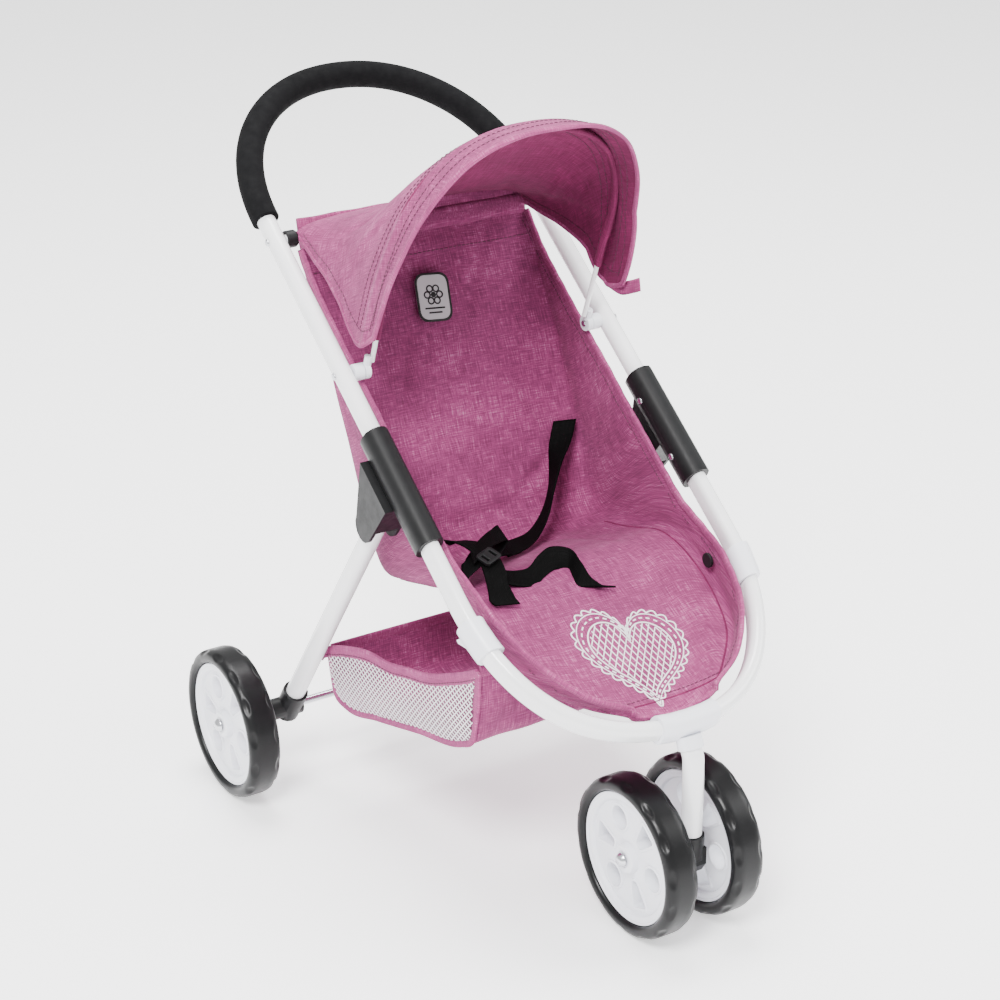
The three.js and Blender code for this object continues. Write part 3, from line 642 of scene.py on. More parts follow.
def bow_path():
    """The canopy's wire, up one side, over and down the other."""
    half_width, height = size_of("canopy_bow")[0] / 2 - 2, 195
    angle = np.linspace(0, math.pi, 121)
    power = 0.8
    x = -half_width * np.sign(np.cos(angle)) * np.abs(np.cos(angle)) ** power
    spread = 1 + 0.05 * np.sin(angle) ** 0.5
    rise = 82 + (height + 4 - 82) * np.sin(angle) ** power
    legs = np.linspace(8, 82, 14)[:-1]
    near = [PIVOT + BOW_UP * r + np.array([-half_width, 0, 0]) for r in legs]
    far = [p * np.array([-1, 1, 1]) for p in near][::-1]
    arch = PIVOT + BOW_UP * rise[:, None] + np.stack([x * spread, 0 * x, 0 * x], axis=1)
    return smooth(np.array(near + list(evenly(arch, 41)) + far), 180)


def make_bow():
    make_piece("canopy_bow_fine", sweep(bow_path(), circle(2, 14), BOW_BACK), paint,
               "canopy_bow", "painted_tube", ("canopy_bow",))


def make_bow_sleeve():
    """The casing sewn inside the canopy that the wire runs through."""
    path = bow_path()
    keep = ((path - PIVOT) @ BOW_UP > 58) | (path[:, 0] < 0) & ((path - PIVOT) @ BOW_UP > 30)
    # The casing's darker pink is painted shade, as on the canopy's underside.
    return make_band("bow_sleeve", path[keep], stadium(4.6, 7.5, 6), BOW_BACK, painted_shade_pink,
                     "canopy_bow")


def make_legs():
    for name, side in SIDES:
        pivot = np.array([side * 124.4, -11.3, 276.3])
        axle = middle_of("rear_axle")
        foot = np.array([side * 143.6, axle[1], axle[2]])
        down = unit(foot - pivot)
        reach = np.linalg.norm(foot - pivot) - 6
        dome = [[8 * math.sin(a), -8 * math.cos(a)] for a in np.linspace(0, math.pi / 2, 9)]
        profile = np.array(dome + [[8, reach - 0.6], [7.4, reach], [0, reach]])
        make_piece(f"rear_leg_{name}_fine", lathe(profile, pivot, down, 36), paint,
                   "rear_legs", "painted_tube", (f"rear_leg_{name}",))


# ---- Wheels
def rim_shape(centre, side):
    """A moulded rim: a dished band, a face with round and tapered windows, and a hub."""
    def place(points):
        return centre + np.stack([side * points[:, 2], points[:, 0], points[:, 1]], axis=1)

    band = [[44.2, 5.8], [45.2, 8.6], [46.8, 9.2], [49.2, 9.2], [49.6, 10.0], [51.5, 10.0]]
    hub = [[3.7, 11.4], [6.2, 11.4], [6.6, 11.8], [10.4, 11.8], [11.2, 10.8], [12.0, 6.0]]
    parts = [lathe(mirrored(band, 0.7, 4), centre, (1, 0, 0), 120),
             lathe(mirrored(hub, 0.4, 3), centre, (1, 0, 0), 64)]
    eye_wall = [[9.3, -7.4], [11.2, -7.4]]
    holes = []
    for i in range(3):
        turn = 2 * math.pi * i / 3 + math.radians(66)
        eye = np.array([30.5 * math.cos(turn), 30.5 * math.sin(turn)])
        holes.append(circle(9.5, 40) + eye)
        at = place(np.array([[eye[0], eye[1], 0]]))[0]
        parts.append(lathe(mirrored(eye_wall, 0.6, 3), at, (1, 0, 0), 48))
        turn += math.pi / 3
        spin = np.array([[math.cos(turn), -math.sin(turn)], [math.sin(turn), math.cos(turn)]])
        window = np.array([[18, 3.6], [39.5, 9.0], [39.5, -9.0], [18, -3.6]])
        inner = rounded(window, 3.4, 6) @ spin.T
        wide = (window - [28, 0]) * [1.13, 1.22] + [28, 0]
        outer = rounded(wide, 4.2, 6) @ spin.T
        holes.append(inner)
        parts.append(plate(outer, [inner], 7.0, 0.4, place))
    parts.append(plate(circle(44.6, 96), holes + [circle(6, 24)], 6.2, 0.3, place))
    return merge(*parts)


def tyre_shape(centre, radius, width):
    """A tyre with a flat tread, round shoulders and a row of dents along each shoulder."""
    half = width / 2
    shoulder = [[52.0, half - 2.6], [54.3, half - 0.3], [57.4, half], [60.4, half - 1.2],
                [62.0, half - 3.9], [radius, half - 7.0]]
    outline = evenly(mirrored(shoulder, 1.6, 4), 90)
    outline[-1] = outline[0]
    dents = 14

    def wave(profile, turn):
        share = (turn * dents / (2 * math.pi)) % 1 - 0.5
        arc = share * 2 * math.pi * radius / dents
        away = (arc / 7.5) ** 2 + ((np.abs(profile[:, 1]) - half + 3.2) / 2.9) ** 2
        dent = np.clip(1 - away, 0, 1) * (profile[:, 0] > 57)
        out = profile.copy()
        out[:, 0] -= 1.3 * dent
        out[:, 1] -= np.sign(out[:, 1]) * 0.8 * dent
        return out

    return lathe(outline, centre, (1, 0, 0), 196, wave)


def make_wheels():
    for place, support in (("rear", "rear_legs"), ("front", "caster")):
        axle = middle_of(f"{place}_axle")
        half = size_of(f"{place}_axle")[0] / 2
        rod = rounded([[0, -half], [3.25, -half], [3.25, half], [0, half]], 0.4, closed=False)
        make_piece(f"{place}_axle_fine", lathe(rod, axle, (1, 0, 0), 32), steel, support,
                   "steel", (f"{place}_axle",))
        for name, side in SIDES:
            body = f"{place}_wheel_{name}"
            tyre = f"{place}_tyre_{name}"
            centre = middle_of(f"{place}_rim_{name}")
            radius, width = size_of(tyre)[2] / 2, size_of(tyre)[0]
            make_piece(f"{place}_rim_{name}_fine", rim_shape(centre, side), plastic_white,
                       body, "white_plastic", (f"{place}_rim_{name}",), 34)
            make_piece(f"{tyre}_fine", tyre_shape(centre, radius, width), rubber, body,
                       "tyre", (tyre,), 50)
            dome = [[0, 4.2], [2.6, 3.8], [4.4, 2.4], [5.2, 0.9], [5.6, 0.4], [5.6, 0], [0, 0]]
            face = axle + np.array([side * (half + 0.3), 0, 0])
            make_piece(f"{place}_axle_cap_{name}_fine",
                       lathe(dome, face, (side, 0, 0), 40), steel, support,
                       "steel", (f"{place}_axle_cap_{name}",))


# ---- Seat
# Each station is [floor y, floor z, rim distance along the frame, rim height above the frame].
SEAT_STATIONS = [
    [146, 443, 241, -1], [124, 400, 208, -8], [100, 351, 166, -10], [77, 301, 132, -10.5],
    [55, 253, 85, -10], [41, 222, 55, -11], [26, 209, 35, -11], [0, 213, 12, -11],
    [-40, 225, -15, -11], [-68, 234, -45, -10], [-95, 232, -75, -2], [-140, 211, -110, 6],
    [-172, 196, -150, 11], [-198, 186, -185, 11], [-221, 180, -203, 10],
]
SEAT_ROWS, SEAT_COLUMNS = 190, 121


def crease(across, along, at, angle, length, width, depth):
    """A soft ridge, or with a negative depth a valley, on the cloth."""
    turn = math.radians(angle)
    u, v = across - at[0], along - at[1]
    run = u * math.cos(turn) + v * math.sin(turn)
    off = -u * math.sin(turn) + v * math.cos(turn)
    return depth * np.exp(-((run / length) ** 2) - (off / width) ** 2)


def seat_grid():
    rows = []
    for i, (y, z, along, above) in enumerate(SEAT_STATIONS):
        share = min(max((NOSE_START - along) / (NOSE_REACH - 15), 0), 0.96)
        rim_x = 104 * (1 - share**NOSE_ROUNDNESS) ** (1 / NOSE_ROUNDNESS)
        rim = on_frame(rim_x, along, above)
        floor = np.array([rim_x * 0.93, y, z])
        centre = np.array([0, y + (3 if i < 6 else 0), z])

        def between(a, b, t, x=None):
            p = a * (1 - t) + b * t
            if x is not None:
                p[0] = x
            return p

        half = [rim, between(rim, floor, 0.5, rim_x), between(rim, floor, 0.93, rim_x * 0.975),
                between(floor, centre, 0.06), between(floor, centre, 0.5)]
        flip = np.array([-1, 1, 1])
        rows.append(half + [centre] + [p * flip for p in half[::-1]])
    rows = smooth(np.array(rows), SEAT_ROWS)
    knots = np.array([0, 1, 1.9, 2.4, 4.4, 6.4, 8.4, 10.4, 10.9, 11.8, 12.8])
    grid = np.array([smooth(row, SEAT_COLUMNS, knots) for row in rows])
    ahead = np.clip((np.arange(SEAT_ROWS) / (SEAT_ROWS - 1) - 0.86) / 0.14, 0, 1)[:, None]
    half = np.abs(grid[:, :, 0]).max(axis=1, keepdims=True)
    grid = grid - ALONG * (6.5 * ahead**2 * (1 - (grid[:, :, 0] / half) ** 2))[:, :, None]
    place = cloth_coordinates(grid)
    u, v = place[:, :, 0], place[:, :, 1]
    edge = np.abs(u) / np.abs(u).max(axis=1, keepdims=True)
    away = (1 - edge) * np.abs(u).max(axis=1, keepdims=True)
    lift = np.zeros_like(u)
    folds = [
        ((-38, 60), 62, 46, 7, 2.4), ((30, 48), 112, 52, 8, -2.2), ((-8, 118), 38, 55, 9, 2.0),
        ((44, 130), 70, 40, 7, 2.3), ((-52, 150), 120, 45, 7, -2.1), ((14, 182), 20, 48, 8, -1.8),
        ((58, 205), 140, 30, 6, 2.4), ((-60, 214), 35, 32, 6, 2.4), ((0, 228), 2, 60, 7, -1.8),
        ((40, 262), 28, 34, 7, 1.7), ((-34, 280), 150, 38, 8, 1.6), ((66, 300), 84, 30, 6, 1.8),
        ((-66, 330), 96, 36, 6, 1.8), ((4, 330), 5, 48, 12, -1.4), ((24, 385), 160, 36, 9, 1.2),
        ((-30, 410), 22, 36, 9, 1.2), ((0, 16), 0, 90, 6, -1.2), ((-20, 30), 86, 20, 5, 1.2),
        ((22, 30), 94, 22, 5, 1.2), ((60, 40), 80, 24, 5, 1.2),
        ((22, 150), 128, 70, 9, 2.0), ((-20, 96), 118, 60, 8, -1.8),
        ((-36, 196), 132, 40, 7, 2.2), ((34, 240), 150, 44, 8, 2.0), ((-10, 256), 16, 50, 8, -1.6),
    ]
    for at, angle, length, width, depth in folds:
        lift += crease(u, v, at, angle, length, width, depth)
    ripple = np.sin(v / 5.3 + 1.7 * np.sin(v / 23)) * np.exp(-((away - 9) / 7) ** 2)
    lift += 0.45 * ripple + 0.5 * np.sin(u / 13 + v / 31) * np.sin(v / 19 - u / 40)
    hem = np.exp(-((away / 7) ** 2))
    lift *= 1 - hem
    lift += 0.7 * np.exp(-(((away - 4) / 3.2) ** 2))
    grid = grid + grid_normals(grid) * lift[:, :, None]
    return grid, place


SEAM_INSET, SEAM_LIFT = 8.5, 0.85


def seat_seams(grid, place):
    """(points, faces) of the stitches along the two sides, the top and the front."""
    normals = grid_normals(grid)
    inward = np.array([0, -0.5, 1])
    last = SEAT_COLUMNS - 1
    distance = np.abs(place[:, :, 0])
    seams = []
    for column, step in ((0, 1), (last, -1)):
        line, up = [], []
        for i in range(3, SEAT_ROWS - 3):
            run = np.abs(distance[i, ::step] - distance[i, column])
            j = float(np.interp(SEAM_INSET, run[:60], np.arange(60)))
            at = (np.array([float(i)]), np.array([column + step * j]))
            line.append(at_grid(grid, *at)[0])
            up.append(at_grid(normals, *at)[0])
        seams.append((np.array(line), np.array(up)))
    for row in (7, SEAT_ROWS - 9):
        seams.append((grid[row, 8:last - 7], normals[row, 8:last - 7]))
    parts = []
    for line, up in seams:
        up = up * np.sign((up * inward).sum(axis=1, keepdims=True))
        parts.append(stitches(line + up * SEAM_LIFT, up))
    return merge(*parts)


def make_seat():
    grid, place = seat_grid()
    seat = make_cloth("seat_cloth", grid, pink, "frame", 1.5, stands_for=("seat",),
                      coordinates=place)
    last = SEAT_COLUMNS - 1
    rim = np.concatenate([grid[:, 0], grid[-1, 1:last], grid[::-1, last]])
    rim = evenly(rim, 420)
    wave = 0.25 * np.sin(np.arange(420) * 0.9)[:, None] * ABOVE
    make_band("seat_rim_roll", rim + wave + ABOVE * 0.6, stadium(3.4, 6.4, 6),
                            ABOVE, pink_light, "frame")
    make_piece("seat_stitches", seat_seams(grid, place), thread, "frame",
                             "pink_fabric")
    # A thin dark roll along the corner where the seat's floor meets its walls and front: painted
    # shade in the crease.
    corner, front_row = 20, SEAT_ROWS - 7
    seam = np.concatenate([grid[96:front_row, corner],
                           grid[front_row, corner:last - corner],
                           grid[front_row:96:-1, last - corner]])
    make_band("seat_floor_crease_shade", evenly(seam, 300), stadium(1.8, 2.6, 5), ABOVE,
                            painted_shade_pink, "frame")
    xs = np.linspace(-99, 104, 60)
    hem = np.stack([xs, BAR[1] - 1 + 0.5 * np.sin(xs / 9), BAR[2] - 3.6 + 0 * xs], axis=1)
    make_band("seat_top_hem", hem, stadium(11.2, 18, 8), (0, 0.35, 1), pink,
                            "frame")
    return seat


# ---- The print on the seat, the label and the harness
def heart(count, scale=1.0):
    """A heart's outline about its own middle, 93 across and 88 long, point down."""
    t = np.linspace(0, 2 * math.pi, count, endpoint=False)
    x = 16 * np.sin(t) ** 3
    y = 13 * np.cos(t) - 5 * np.cos(2 * t) - 2 * np.cos(3 * t) - np.cos(4 * t)
    return np.stack([x / 16 * 46.5, (y + 2.6) / 14.6 * 44], axis=1) * scale


def inside(points, loop):
    """Whether each point is inside a closed loop."""
    x, y = points[:, 0], points[:, 1]
    hit = np.zeros(len(points), bool)
    for (x0, y0), (x1, y1) in zip(loop, np.roll(loop, -1, axis=0)):
        crosses = (y0 > y) != (y1 > y)
        edge = x0 + (y - y0) * (x1 - x0) / (y1 - y0 if y1 != y0 else 1e-9)
        hit ^= crosses & (x < edge)
    return hit


PRINT_MIDDLE, PRINT_TILT, PRINT_SCALE = (1.5, -176.5), math.radians(-14), (0.93, 1.04)
PRINT_THICKNESS, PRINT_LIFT = 0.28, 0.22
SCALLOPS, LATTICE_SPACING = 34, 11.4


def make_print(seat):
    """White lace lines printed as a heart on the front of the seat."""
    tree = BVHTree.FromObject(seat, bpy.context.evaluated_depsgraph_get())
    c, s = math.cos(PRINT_TILT), math.sin(PRINT_TILT)
    spin = np.array([[c, -s], [s, c]])

    def on_seat(flat):
        points, ups = [], []
        for x, y in (flat @ spin.T) * PRINT_SCALE + PRINT_MIDDLE:
            hit, up, _, _ = tree.ray_cast(Vector((x, y, 300)) * MM, Vector((0, 0, -1)))
            if hit is None:
                points.append([x, y, np.nan])
                ups.append([0, 0, 1])
                continue
            up = up if up.z > 0 else -up
            points.append(np.array(hit + up * PRINT_LIFT * MM) / MM)
            ups.append(up)
        return np.array(points), np.array(ups)

    def strips(line, width):
        points, ups = on_seat(line)
        good = ~np.isnan(points[:, 2])
        half = PRINT_THICKNESS / 2
        flat = np.array([[-width / 2, -half], [width / 2, -half], [width / 2, half],
                         [-width / 2, half]])
        stretches = np.split(np.arange(len(good)), np.flatnonzero(np.diff(good)) + 1)
        return [sweep(points[i], flat, ups[i]) for i in stretches if good[i[0]] and len(i) > 2]

    def ring(scale, count=220):
        loop = heart(count, scale)
        return np.vstack([loop, loop[:1]])

    parts = []
    edge = evenly(ring(0.95), 541)[:-1]
    out = unit(edge - edge.mean(axis=0))
    scallop = np.abs(np.sin(np.arange(540) / 540 * math.pi * SCALLOPS))[:, None]
    lace = edge + out * (3.4 * scallop)
    parts += strips(np.vstack([lace, lace[:1]]), 1.1)
    parts += strips(evenly(ring(0.93), 320), 0.8)
    dashes = evenly(ring(0.85), 505)
    for i in range(0, 504, 12):
        parts += strips(dashes[i:i + 7], 1.2)
    parts += strips(evenly(ring(0.76), 300), 1.1)
    inner = heart(160, 0.745)
    for slope in (1, -1):
        for offset in np.arange(-96, 97, LATTICE_SPACING):
            t = np.linspace(-60, 60, 161)
            line = np.stack([0.58 * t + offset / 2, slope * t], axis=1)
            keep = inside(line, inner)
            for stretch in np.split(np.arange(len(keep)), np.flatnonzero(np.diff(keep)) + 1):
                if keep[stretch[0]] and len(stretch) > 4:
                    parts += strips(line[stretch[1:]], 0.8)
    return make_piece("seat_heart_print", merge(*parts), print_white, "frame", "label_fabric")


def make_label():
    """A sewn label with a plain flower."""
    centre = middle_of("label_patch")
    up = unit([0, 105, 214])
    out = unit([0, -214, 105])
    lean = math.radians(6)
    right = np.array([1, 0, 0]) * math.cos(lean) - up * math.sin(lean)
    top = np.array([1, 0, 0]) * math.sin(lean) + up * math.cos(lean)

    def at(height):
        return lambda p: (centre + p[:, :1] * right + p[:, 1:2] * top
                          + (p[:, 2:] + height) * out)

    def box(w, h):
        return rounded(np.array([[-w, -h], [w, -h], [w, h], [-w, h]]) / 2, w * 0.3, 10)

    make_piece("label_field", plate(box(30, 39), [], 0.5, 0.15, at(0)), label_white, "frame",
               "label_fabric", ("label_patch",))
    marks = []

    def mark(outline, holes=()):
        marks.append(plate(outline, holes, 0.3, 0.08, at(0.45)))

    mark(box(30.4, 39.4), [box(27.2, 36.2)])
    petals, flower = 6, np.array([0, 2])
    for petal in circle(5.6, petals) + flower:
        mark(circle(3.1, 20) + petal, [circle(2.0, 20) + petal])
    mark(circle(2.2, 20) + flower)
    for k, half in enumerate((9, 6)):
        y = -9.5 - 3.6 * k
        mark(rounded([[-half, y], [half, y], [half, y + 1.2], [-half, y + 1.2]], 0.5, 3))
    make_piece("label_marks", merge(*marks), label_black, "frame", "label_fabric")


STRAP_WIDTH = 19


def ribbon(name, stations, count, stands_for=()):
    """Webbing along stations of [x, y, z, and the direction across it]."""
    rows = smooth(np.array(stations, float), count)
    middle, across = rows[:, :3], unit(rows[:, 3:])
    t = np.linspace(-STRAP_WIDTH / 2, STRAP_WIDTH / 2, 13)
    grid = middle[:, None] + across[:, None] * t[None, :, None]
    return make_cloth(name, grid, webbing, "frame", 1.3, "webbing", stands_for)


def make_harness():
    shoulder = ribbon("harness_shoulder", [
        [92, 62, 286, 0.85, -0.5, 0.1], [84, 55, 275, 0.7, -0.65, 0.2],
        [72, 44, 263, 0.1, -0.9, 0.3], [58, 29, 246, -0.3, -0.9, 0.3],
        [42, 14, 232, -0.3, -0.95, 0.2], [22, 0, 224, -0.2, -0.95, 0.1],
        [-2, -14, 226, -0.1, -1.0, -0.1], [-24, -26, 232, 0.0, -1.0, -0.2],
    ], 100, ("harness_strap",))
    fold = ribbon("harness_fold_low", [
        [-20, -24, 232, -0.1, 1.0, 0.2], [-44, -36, 240, 0.1, 0.9, 0.2],
        [-66, -50, 243, 0.3, 0.9, 0.2], [-84, -66, 243, 0.5, 0.8, 0.3],
        [-90, -76, 249, 0.5, 0.8, 0.4], [-78, -72, 253, 0.4, 0.9, 0.2],
        [-56, -56, 250, 0.2, 1.0, 0.1], [-36, -40, 246, 0.1, 1.0, 0.0],
        [-30, -36, 251, 0.1, 0.9, 0.2], [-44, -46, 256, 0.2, 1.0, 0.1],
        [-62, -58, 258, 0.3, 1.0, 0.0], [-78, -70, 257, 0.4, 0.9, 0.1],
    ], 160)
    loose = ribbon("harness_fold_near", [
        [-86, -44, 261, 0.7, 0.5, -0.6], [-77, -45, 260, 0.7, 0.6, -0.4],
        [-67, -57, 258, 0.8, 0.5, -0.1], [-65, -74, 252, 0.9, 0.3, 0.1],
        [-68, -88, 245, 1.0, 0.1, 0.2], [-72, -98, 239, 1.0, 0.1, 0.2],
        [-73, -106, 235, 0.9, -0.4, 0.1], [-72, -110, 233, 0.8, -0.5, 0.1],
    ], 120)
    tail = ribbon("harness_tail_wave", [
        [-62, -78, 241, 0.3, 0.9, 0.1], [-46, -84, 237, 0.3, 0.9, 0.2],
        [-34, -84, 235, 0.2, 0.9, 0.4], [-21, -78, 239, 0.2, 0.8, 0.6],
        [-9, -75, 241, 0.2, 0.7, 0.7], [1, -81, 239, 0.4, 0.4, 0.8],
        [-1, -94, 234, 0.6, 0.1, 0.7], [-3, -105, 230, 0.8, -0.3, 0.4],
        [4, -112, 229, 0.6, -0.8, 0.2], [13, -114, 228, 0.4, -0.9, 0.2],
    ], 130, ("harness_tail",))
    buckle = rounded([[-9, -6], [9, -6], [9, 6], [-9, 6]], 2.5, 6)
    slots = [rounded([[x - 1.8, -4], [x + 1.8, -4], [x + 1.8, 4], [x - 1.8, 4]], 1, 4)
             for x in (-4.8, 4.8)]
    middle = np.array([-66, -74, 256.5])
    right, top = unit([1, 0.45, 0.05]), unit([-0.45, 1, 0.4])
    out = unit(np.cross(right, top))
    top = np.cross(out, right)
    make_piece("harness_slide", plate(buckle, slots, 1.2, 0.4, lambda p: (
        middle + p[:, :1] * right + p[:, 1:2] * top + p[:, 2:] * out)),
        plastic_black, "frame", "black_plastic")


# ---- Canopy
# Each station is [side y, side z, crown y, crown z, half width], from the bar to the front edge.
CANOPY_STATIONS = [
    [150, 454, 153, 464, 103], [124, 443, 114, 481, 103.5], [98, 432, 70, 505, 104],
    [76, 417, 32, 535, 105], [60, 402, 4, 554, 106], [44, 396, -26, 567, 107],
    [22, 408, -60, 571, 107],
]
CANOPY_ROWS, CANOPY_COLUMNS = 130, 141


def canopy_depth(points):
    """How far points are behind the bow's plane."""
    return (points - PIVOT) @ BOW_BACK


BOW_CROWN = PIVOT + BOW_UP * 197
CANOPY_BODY = ("frame", "canopy_bow",
               tuple((BOW_CROWN + BOW_BACK * 118) * MM), tuple((BOW_CROWN + BOW_BACK * 6) * MM))


def canopy_grid():
    stations = smooth(np.array(CANOPY_STATIONS, float), CANOPY_ROWS)
    power = 2 / 2.65
    turn = np.linspace(0, math.pi, 721)
    c, s = np.cos(turn), np.clip(np.sin(turn), 0, 1) ** power
    rows = []
    for side_y, side_z, crown_y, crown_z, half in stations:
        line = np.stack([half * np.sign(c) * np.abs(c) ** power,
                         side_y + (crown_y - side_y) * s, side_z + (crown_z - side_z) * s], 1)
        rows.append(evenly(line, CANOPY_COLUMNS))
    grid = np.array(rows)
    run = np.linspace(0, 1, CANOPY_ROWS)[:, None]
    pulled = np.clip(grid[:, :, 0] / 107, 0, 1) ** 3 * np.clip((run - 0.05) / 0.6, 0, 1)
    across = np.linspace(-1, 1, CANOPY_COLUMNS)[None, :]
    low_side = np.clip((1 - np.abs(across) - 0.0) / 0.34, 0, 1)
    shift = pulled * (1 - low_side**2)
    grid[:, :, 2] += 26 * shift * np.clip((1.15 - run) / 0.5, 0.35, 1)
    grid[:, :, 1] -= 16 * shift
    place = cloth_coordinates(grid)
    u, v = place[:, :, 0], place[:, :, 1]
    behind = canopy_depth(grid)
    share = np.clip(behind / 127, 0, 1)
    normals = grid_normals(grid)
    normals *= np.sign((normals * np.array([0, 0, 1])).sum(axis=2).mean())
    lift = -5.5 * np.sin(math.pi * share) ** 1.2 * (1 - np.abs(across) ** 3)
    lift += 1.3 * np.exp(-((behind / 3.4) ** 2))
    folds = [
        ((-60, 60), 62, 34, 7, 1.5), ((64, 66), 118, 34, 7, 1.5), ((-96, 92), 74, 30, 6, -1.4),
        ((98, 88), 104, 30, 6, -1.4), ((-20, 34), 84, 26, 6, 1.0), ((24, 40), 96, 30, 6, 1.0),
        ((-120, 120), 60, 24, 6, 1.4), ((122, 118), 120, 24, 6, 1.4), ((0, 76), 4, 60, 12, -0.9),
        ((-48, 150), 20, 34, 8, 0.8), ((46, 152), 158, 34, 8, 0.8),
    ]
    for at, angle, length, width, depth in folds:
        lift += crease(u, v, at, angle, length, width, depth)
    lift += 0.35 * np.sin(u / 11 + v / 27) * np.sin(v / 15)
    return grid + normals * lift[:, :, None], place, normals


def make_canopy():
    grid, place, normals = canopy_grid()
    # The canopy's underside gets the darker pink: painted shade on the inside of the canopy.
    canopy = make_cloth("canopy_cloth", grid, pink, CANOPY_BODY, 1.3,
                        stands_for=("canopy_fabric",), coordinates=place, under=painted_shade_pink)
    rows, last = np.arange(CANOPY_ROWS), CANOPY_COLUMNS - 1
    seams = []

    def seam(line, up):
        for face in (1, -1):
            seams.append(stitches(line + up * face * 0.75, up * face))

    for depth in (8, -8, 14):
        line, up = [], []
        for j in range(4, last - 3):
            behind = canopy_depth(grid[:, j])
            i = float(np.interp(-depth, -behind, rows))
            if 1 < i < CANOPY_ROWS - 2:
                at = (np.array([i]), np.array([float(j)]))
                line.append(at_grid(grid, *at)[0])
                up.append(at_grid(normals, *at)[0])
        if len(line) > 8:
            seam(np.array(line), np.array(up))
    seam(grid[-9, 3:last - 2], normals[-9, 3:last - 2])
    for j in (4, last - 4):
        seam(grid[8:-6, j], normals[8:-6, j])
    pieces = [make_piece("canopy_stitches", merge(*seams), thread, CANOPY_BODY, "pink_fabric")]
    front = evenly(grid[-1], 200)
    pieces.append(make_band("canopy_front_hem", front, stadium(2.8, 4.6, 5), BOW_BACK,
                            pink_light, CANOPY_BODY))
    for name, column in (("right", last), ("left", 0)):
        line = evenly(grid[:, column], 110)
        pieces.append(make_band(f"canopy_side_hem_{name}", line, stadium(2.6, 4.4, 5),
                                (0, 0, 1), pink_light, CANOPY_BODY))
    xs = np.linspace(-101, 101, 60)
    rear = np.stack([xs, BAR[1] + 1 + 0 * xs, BAR[2] + 7 + 0.3 * np.sin(xs / 6)], axis=1)
    pieces.append(make_band("canopy_rear_hem", rear, stadium(3.4, 15.5, 6), (0, 0.3, 1), pink,
                            "frame"))
    pieces.append(make_bow_sleeve())
    tip = at_grid(grid, np.array([CANOPY_ROWS * 0.86]), np.array([1.0]))[0]
    tail = smooth([tip, tip + [3, -12, -3], tip + [5, -24, 1], tip + [5, -35, 6]], 24)
    t = np.linspace(-0.5, 0.5, 7)[None, :, None] * np.array([0, 0.2, 1]) * 10.5
    tag = make_cloth("canopy_tail", tail[:, None] + t, pink_light, "canopy_bow", 1.2)


# ---- Basket
BASKET_LINE = [[72, 130], [68, 110], [61, 91], [46, 88.5], [0, 100], [-60, 117], [-118, 133],
               [-133, 142], [-138, 160], [-142, 204]]
BASKET_TOP = [[73, 131], [30, 149], [-30, 160], [-90, 178], [-142, 205]]
FRONT_Y, BASKET_LENGTH = -143, 216
BASKET_BODY = ("frame", "rear_legs", (0, -0.08, 0.19), (0, 0.066, 0.11))


def basket_half(y):
    return 117 + 10 * (y - FRONT_Y) / BASKET_LENGTH


def basket_grid(line):
    across = np.linspace(-1, 1, 91)
    y, z = line[:, :1] + 0 * across, line[:, 1:] + 0 * across
    x = across * (basket_half(y) - 1.6)
    grid = np.stack([x, y, z], axis=2)
    run = np.linspace(0, 1, len(line))[:, None]
    sag = 5.0 * np.sin(math.pi * np.clip((run - 0.16) / 0.62, 0, 1)) * (1 - across**2)
    grid[:, :, 2] -= np.clip(sag, 0, None)
    place = cloth_coordinates(grid)
    u, v = place[:, :, 0], place[:, :, 1]
    lift = 0.8 * np.sin(u / 17 + v / 40) * np.sin(v / 26) + 0.5 * np.sin(u / 7 - v / 23) * run
    return grid + grid_normals(grid) * lift[:, :, None], place


def on_side(flat, side, out=0.0):
    """Points [y, z] of a side panel in the frame's axes, out away from the basket."""
    return np.stack([side * (basket_half(flat[:, 0]) + out), flat[:, 0], flat[:, 1]], 1)


NET_THREAD, NET_SPACING, NET_STEP, NET_BULGE = 0.52, 3.7, 2.4, 2.6
NET_ANGLES = (math.radians(25), math.radians(-49))
NET_MIDDLE, NET_REACH, NET_LINES = (-35, 145), 150, 62


def net_shape(side, low_edge, top_edge):
    """(points, faces) of the crossing threads of one side panel, cut off at its edges."""
    outline = circle(NET_THREAD, 5)
    parts = []
    for angle in NET_ANGLES:
        ray = np.array([math.cos(angle), math.sin(angle)])
        off = np.array([-ray[1], ray[0]])
        for k in np.arange(-NET_LINES, NET_LINES + 1):
            t = np.arange(-NET_REACH, NET_REACH + 0.1, NET_STEP)
            flat = np.array(NET_MIDDLE) + off * (k * NET_SPACING) + ray * t[:, None]
            low = np.interp(flat[:, 0], low_edge[::-1, 0], low_edge[::-1, 1])
            high = np.interp(flat[:, 0], top_edge[::-1, 0], top_edge[::-1, 1])
            share = (flat[:, 1] - low) / np.maximum(high - low, 1)
            rear = 61 + 12 * (flat[:, 1] - 88) / 43
            front = -134 - 8 * (flat[:, 1] - 140) / 64
            keep = (share > 0) & (share < 1) & (flat[:, 0] < rear) & (flat[:, 0] > front)
            if keep.sum() < 2:
                continue
            first, final = np.flatnonzero(keep)[[0, -1]]
            inner = flat[first:final + 1]
            bulge = NET_BULGE * np.sin(math.pi * np.clip(share[first:final + 1], 0, 1))
            path = on_side(inner, side) + side * bulge[:, None] * [1, 0, 0]
            parts.append(sweep(path, outline, (side, 0, 0)))
    return merge(*parts)


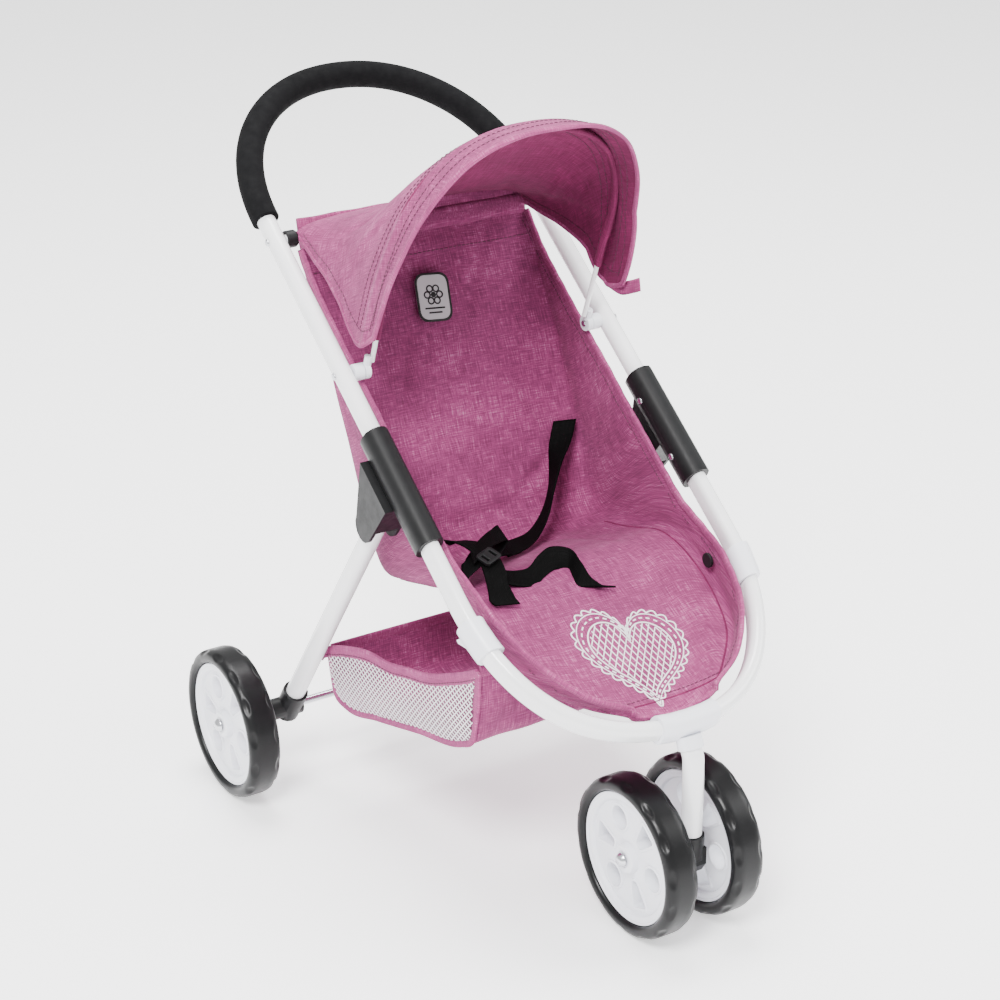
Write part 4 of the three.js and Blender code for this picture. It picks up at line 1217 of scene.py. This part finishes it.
def make_basket():
    line = smooth(BASKET_LINE, 140)
    grid, place = basket_grid(line)
    basket = make_cloth("basket_cloth", grid, pink, BASKET_BODY, 1.3, stands_for=("basket",),
                        coordinates=place)

    def bind(name, path, thickness, width, up=(0, 0, 1)):
        make_band(name, path, stadium(thickness, width, 6), up, pink_light,
                                BASKET_BODY)

    top = smooth(BASKET_TOP, 80)
    side_low = line[18:128]
    for name, side in SIDES:
        make_piece(f"basket_net_{name}", net_shape(side, side_low, top), net_white,
                                 BASKET_BODY, "pink_fabric")
        edge = on_side(top, side, 0.4)
        edge[:, 2] += 0.5 * np.sin(np.arange(80) / 3.1) - 3.6
        bind(f"basket_top_binding_{name}", edge, 2.8, 10)
        bind(f"basket_low_binding_{name}", on_side(side_low, side, 0.2), 2.6, 5.4)
        for end, corner, width in (("rear", line[:20], 6.0), ("front", line[-16:], 8.0)):
            bind(f"basket_{end}_binding_{name}", on_side(corner, side, 0.3), 2.6, width,
                 (0, 1, 0.1))
        outward = np.broadcast_to([float(side), 0, 0], edge.shape)
        seam = edge + np.array([side * 1.5, 0, -2.6])
        make_piece(f"basket_stitches_{name}", stitches(seam, outward), thread,
                                 BASKET_BODY, "pink_fabric")
        corner = np.array([side * 127, 72, 128])
        tab = smooth([corner, corner + [side * 3.5, 1.5, -1], corner + [side * 5.5, 0, -2]], 12)
        wide = np.linspace(-0.5, 0.5, 7)[None, :, None] * np.array([0, -0.45, 0.89]) * 13
        make_cloth(f"basket_tab_{name}", tab[:, None] + wide, pink,
                                 BASKET_BODY, 1.6)
        stud = rounded([[0, 0], [4.2, 0], [4.2, 1.2], [2.6, 2.2], [0, 2.4]], 0.4, closed=False)
        at = np.array([side * 124.4, 64, 129])
        make_piece(f"basket_stud_{name}", lathe(stud, at, (-side, 0, 0), 28), plastic_black,
                   "rear_legs", "black_plastic")
    bind("basket_front_hem", evenly(grid[-1], 90), 3, 9)
    bind("basket_rear_hem", evenly(grid[0], 90), 3, 9)


# ---- Camera, light and floor
def make_camera():
    azimuth, elevation = math.radians(-32.04), math.radians(24.02)
    right = Vector((math.cos(azimuth), math.sin(azimuth), 0))
    back = Vector((math.sin(azimuth) * math.cos(elevation),
                   -math.cos(azimuth) * math.cos(elevation), math.sin(elevation)))
    up = back.cross(right)
    data = bpy.data.cameras.new("camera")
    data.lens = 81.64
    data.sensor_width = 36
    camera = bpy.data.objects.new("camera", data)
    target, distance = Vector((-0.0305, -0.0333, 0.279)), 1.7362
    matrix = Matrix((right, up, back)).transposed().to_4x4()
    matrix.translation = target + back * distance
    camera.matrix_world = matrix
    bpy.context.scene.collection.objects.link(camera)
    bpy.context.scene.camera = camera


def area_light(name, place, target, size, power):
    data = bpy.data.lights.new(name, "AREA")
    data.shape = "DISK"
    data.size = size
    data.energy = power
    light = bpy.data.objects.new(name, data)
    light.location = place
    aim = Vector(target) - Vector(place)
    light.rotation_euler = aim.to_track_quat("-Z", "Y").to_euler()
    bpy.context.scene.collection.objects.link(light)


def make_studio():
    area_light("key", (-1.5, -1.3, 2.5), (0, 0, 0.25), 1.1, 150)
    area_light("fill", (1.9, -1.2, 1.6), (0, 0, 0.3), 1.4, 42)
    area_light("top", (0.2, 0.6, 2.7), (0, 0, 0.2), 1.5, 110)
    world = bpy.data.worlds.new("studio")
    world.use_nodes = True
    background = world.node_tree.nodes["Background"]
    background.inputs["Color"].default_value = (1, 1, 1, 1)
    background.inputs["Strength"].default_value = 1.1
    bpy.context.scene.world = world
    mesh = bpy.data.meshes.new("floor")
    reach = 6
    corners = [(-reach, -reach, 0), (reach, -reach, 0), (reach, reach, 0), (-reach, reach, 0)]
    mesh.from_pydata(corners, [], [(0, 1, 2, 3)])
    floor = bpy.data.objects.new("floor", mesh)
    material, _, _ = shader_material("floor", (0.95, 0.95, 0.955), 0.75, Specular_IOR_Level=0.1,
                                     Emission_Color=(1, 1, 1, 1), Emission_Strength=0.8)
    mesh.materials.append(material)
    bpy.context.scene.collection.objects.link(floor)


# ---- Build
make_tubes()
make_hard_pieces()
make_fork()
make_bow()
make_legs()
make_wheels()
seat_piece = make_seat()
make_print(seat_piece)
make_label()
make_harness()
make_canopy()
make_basket()
make_camera()
make_studio()
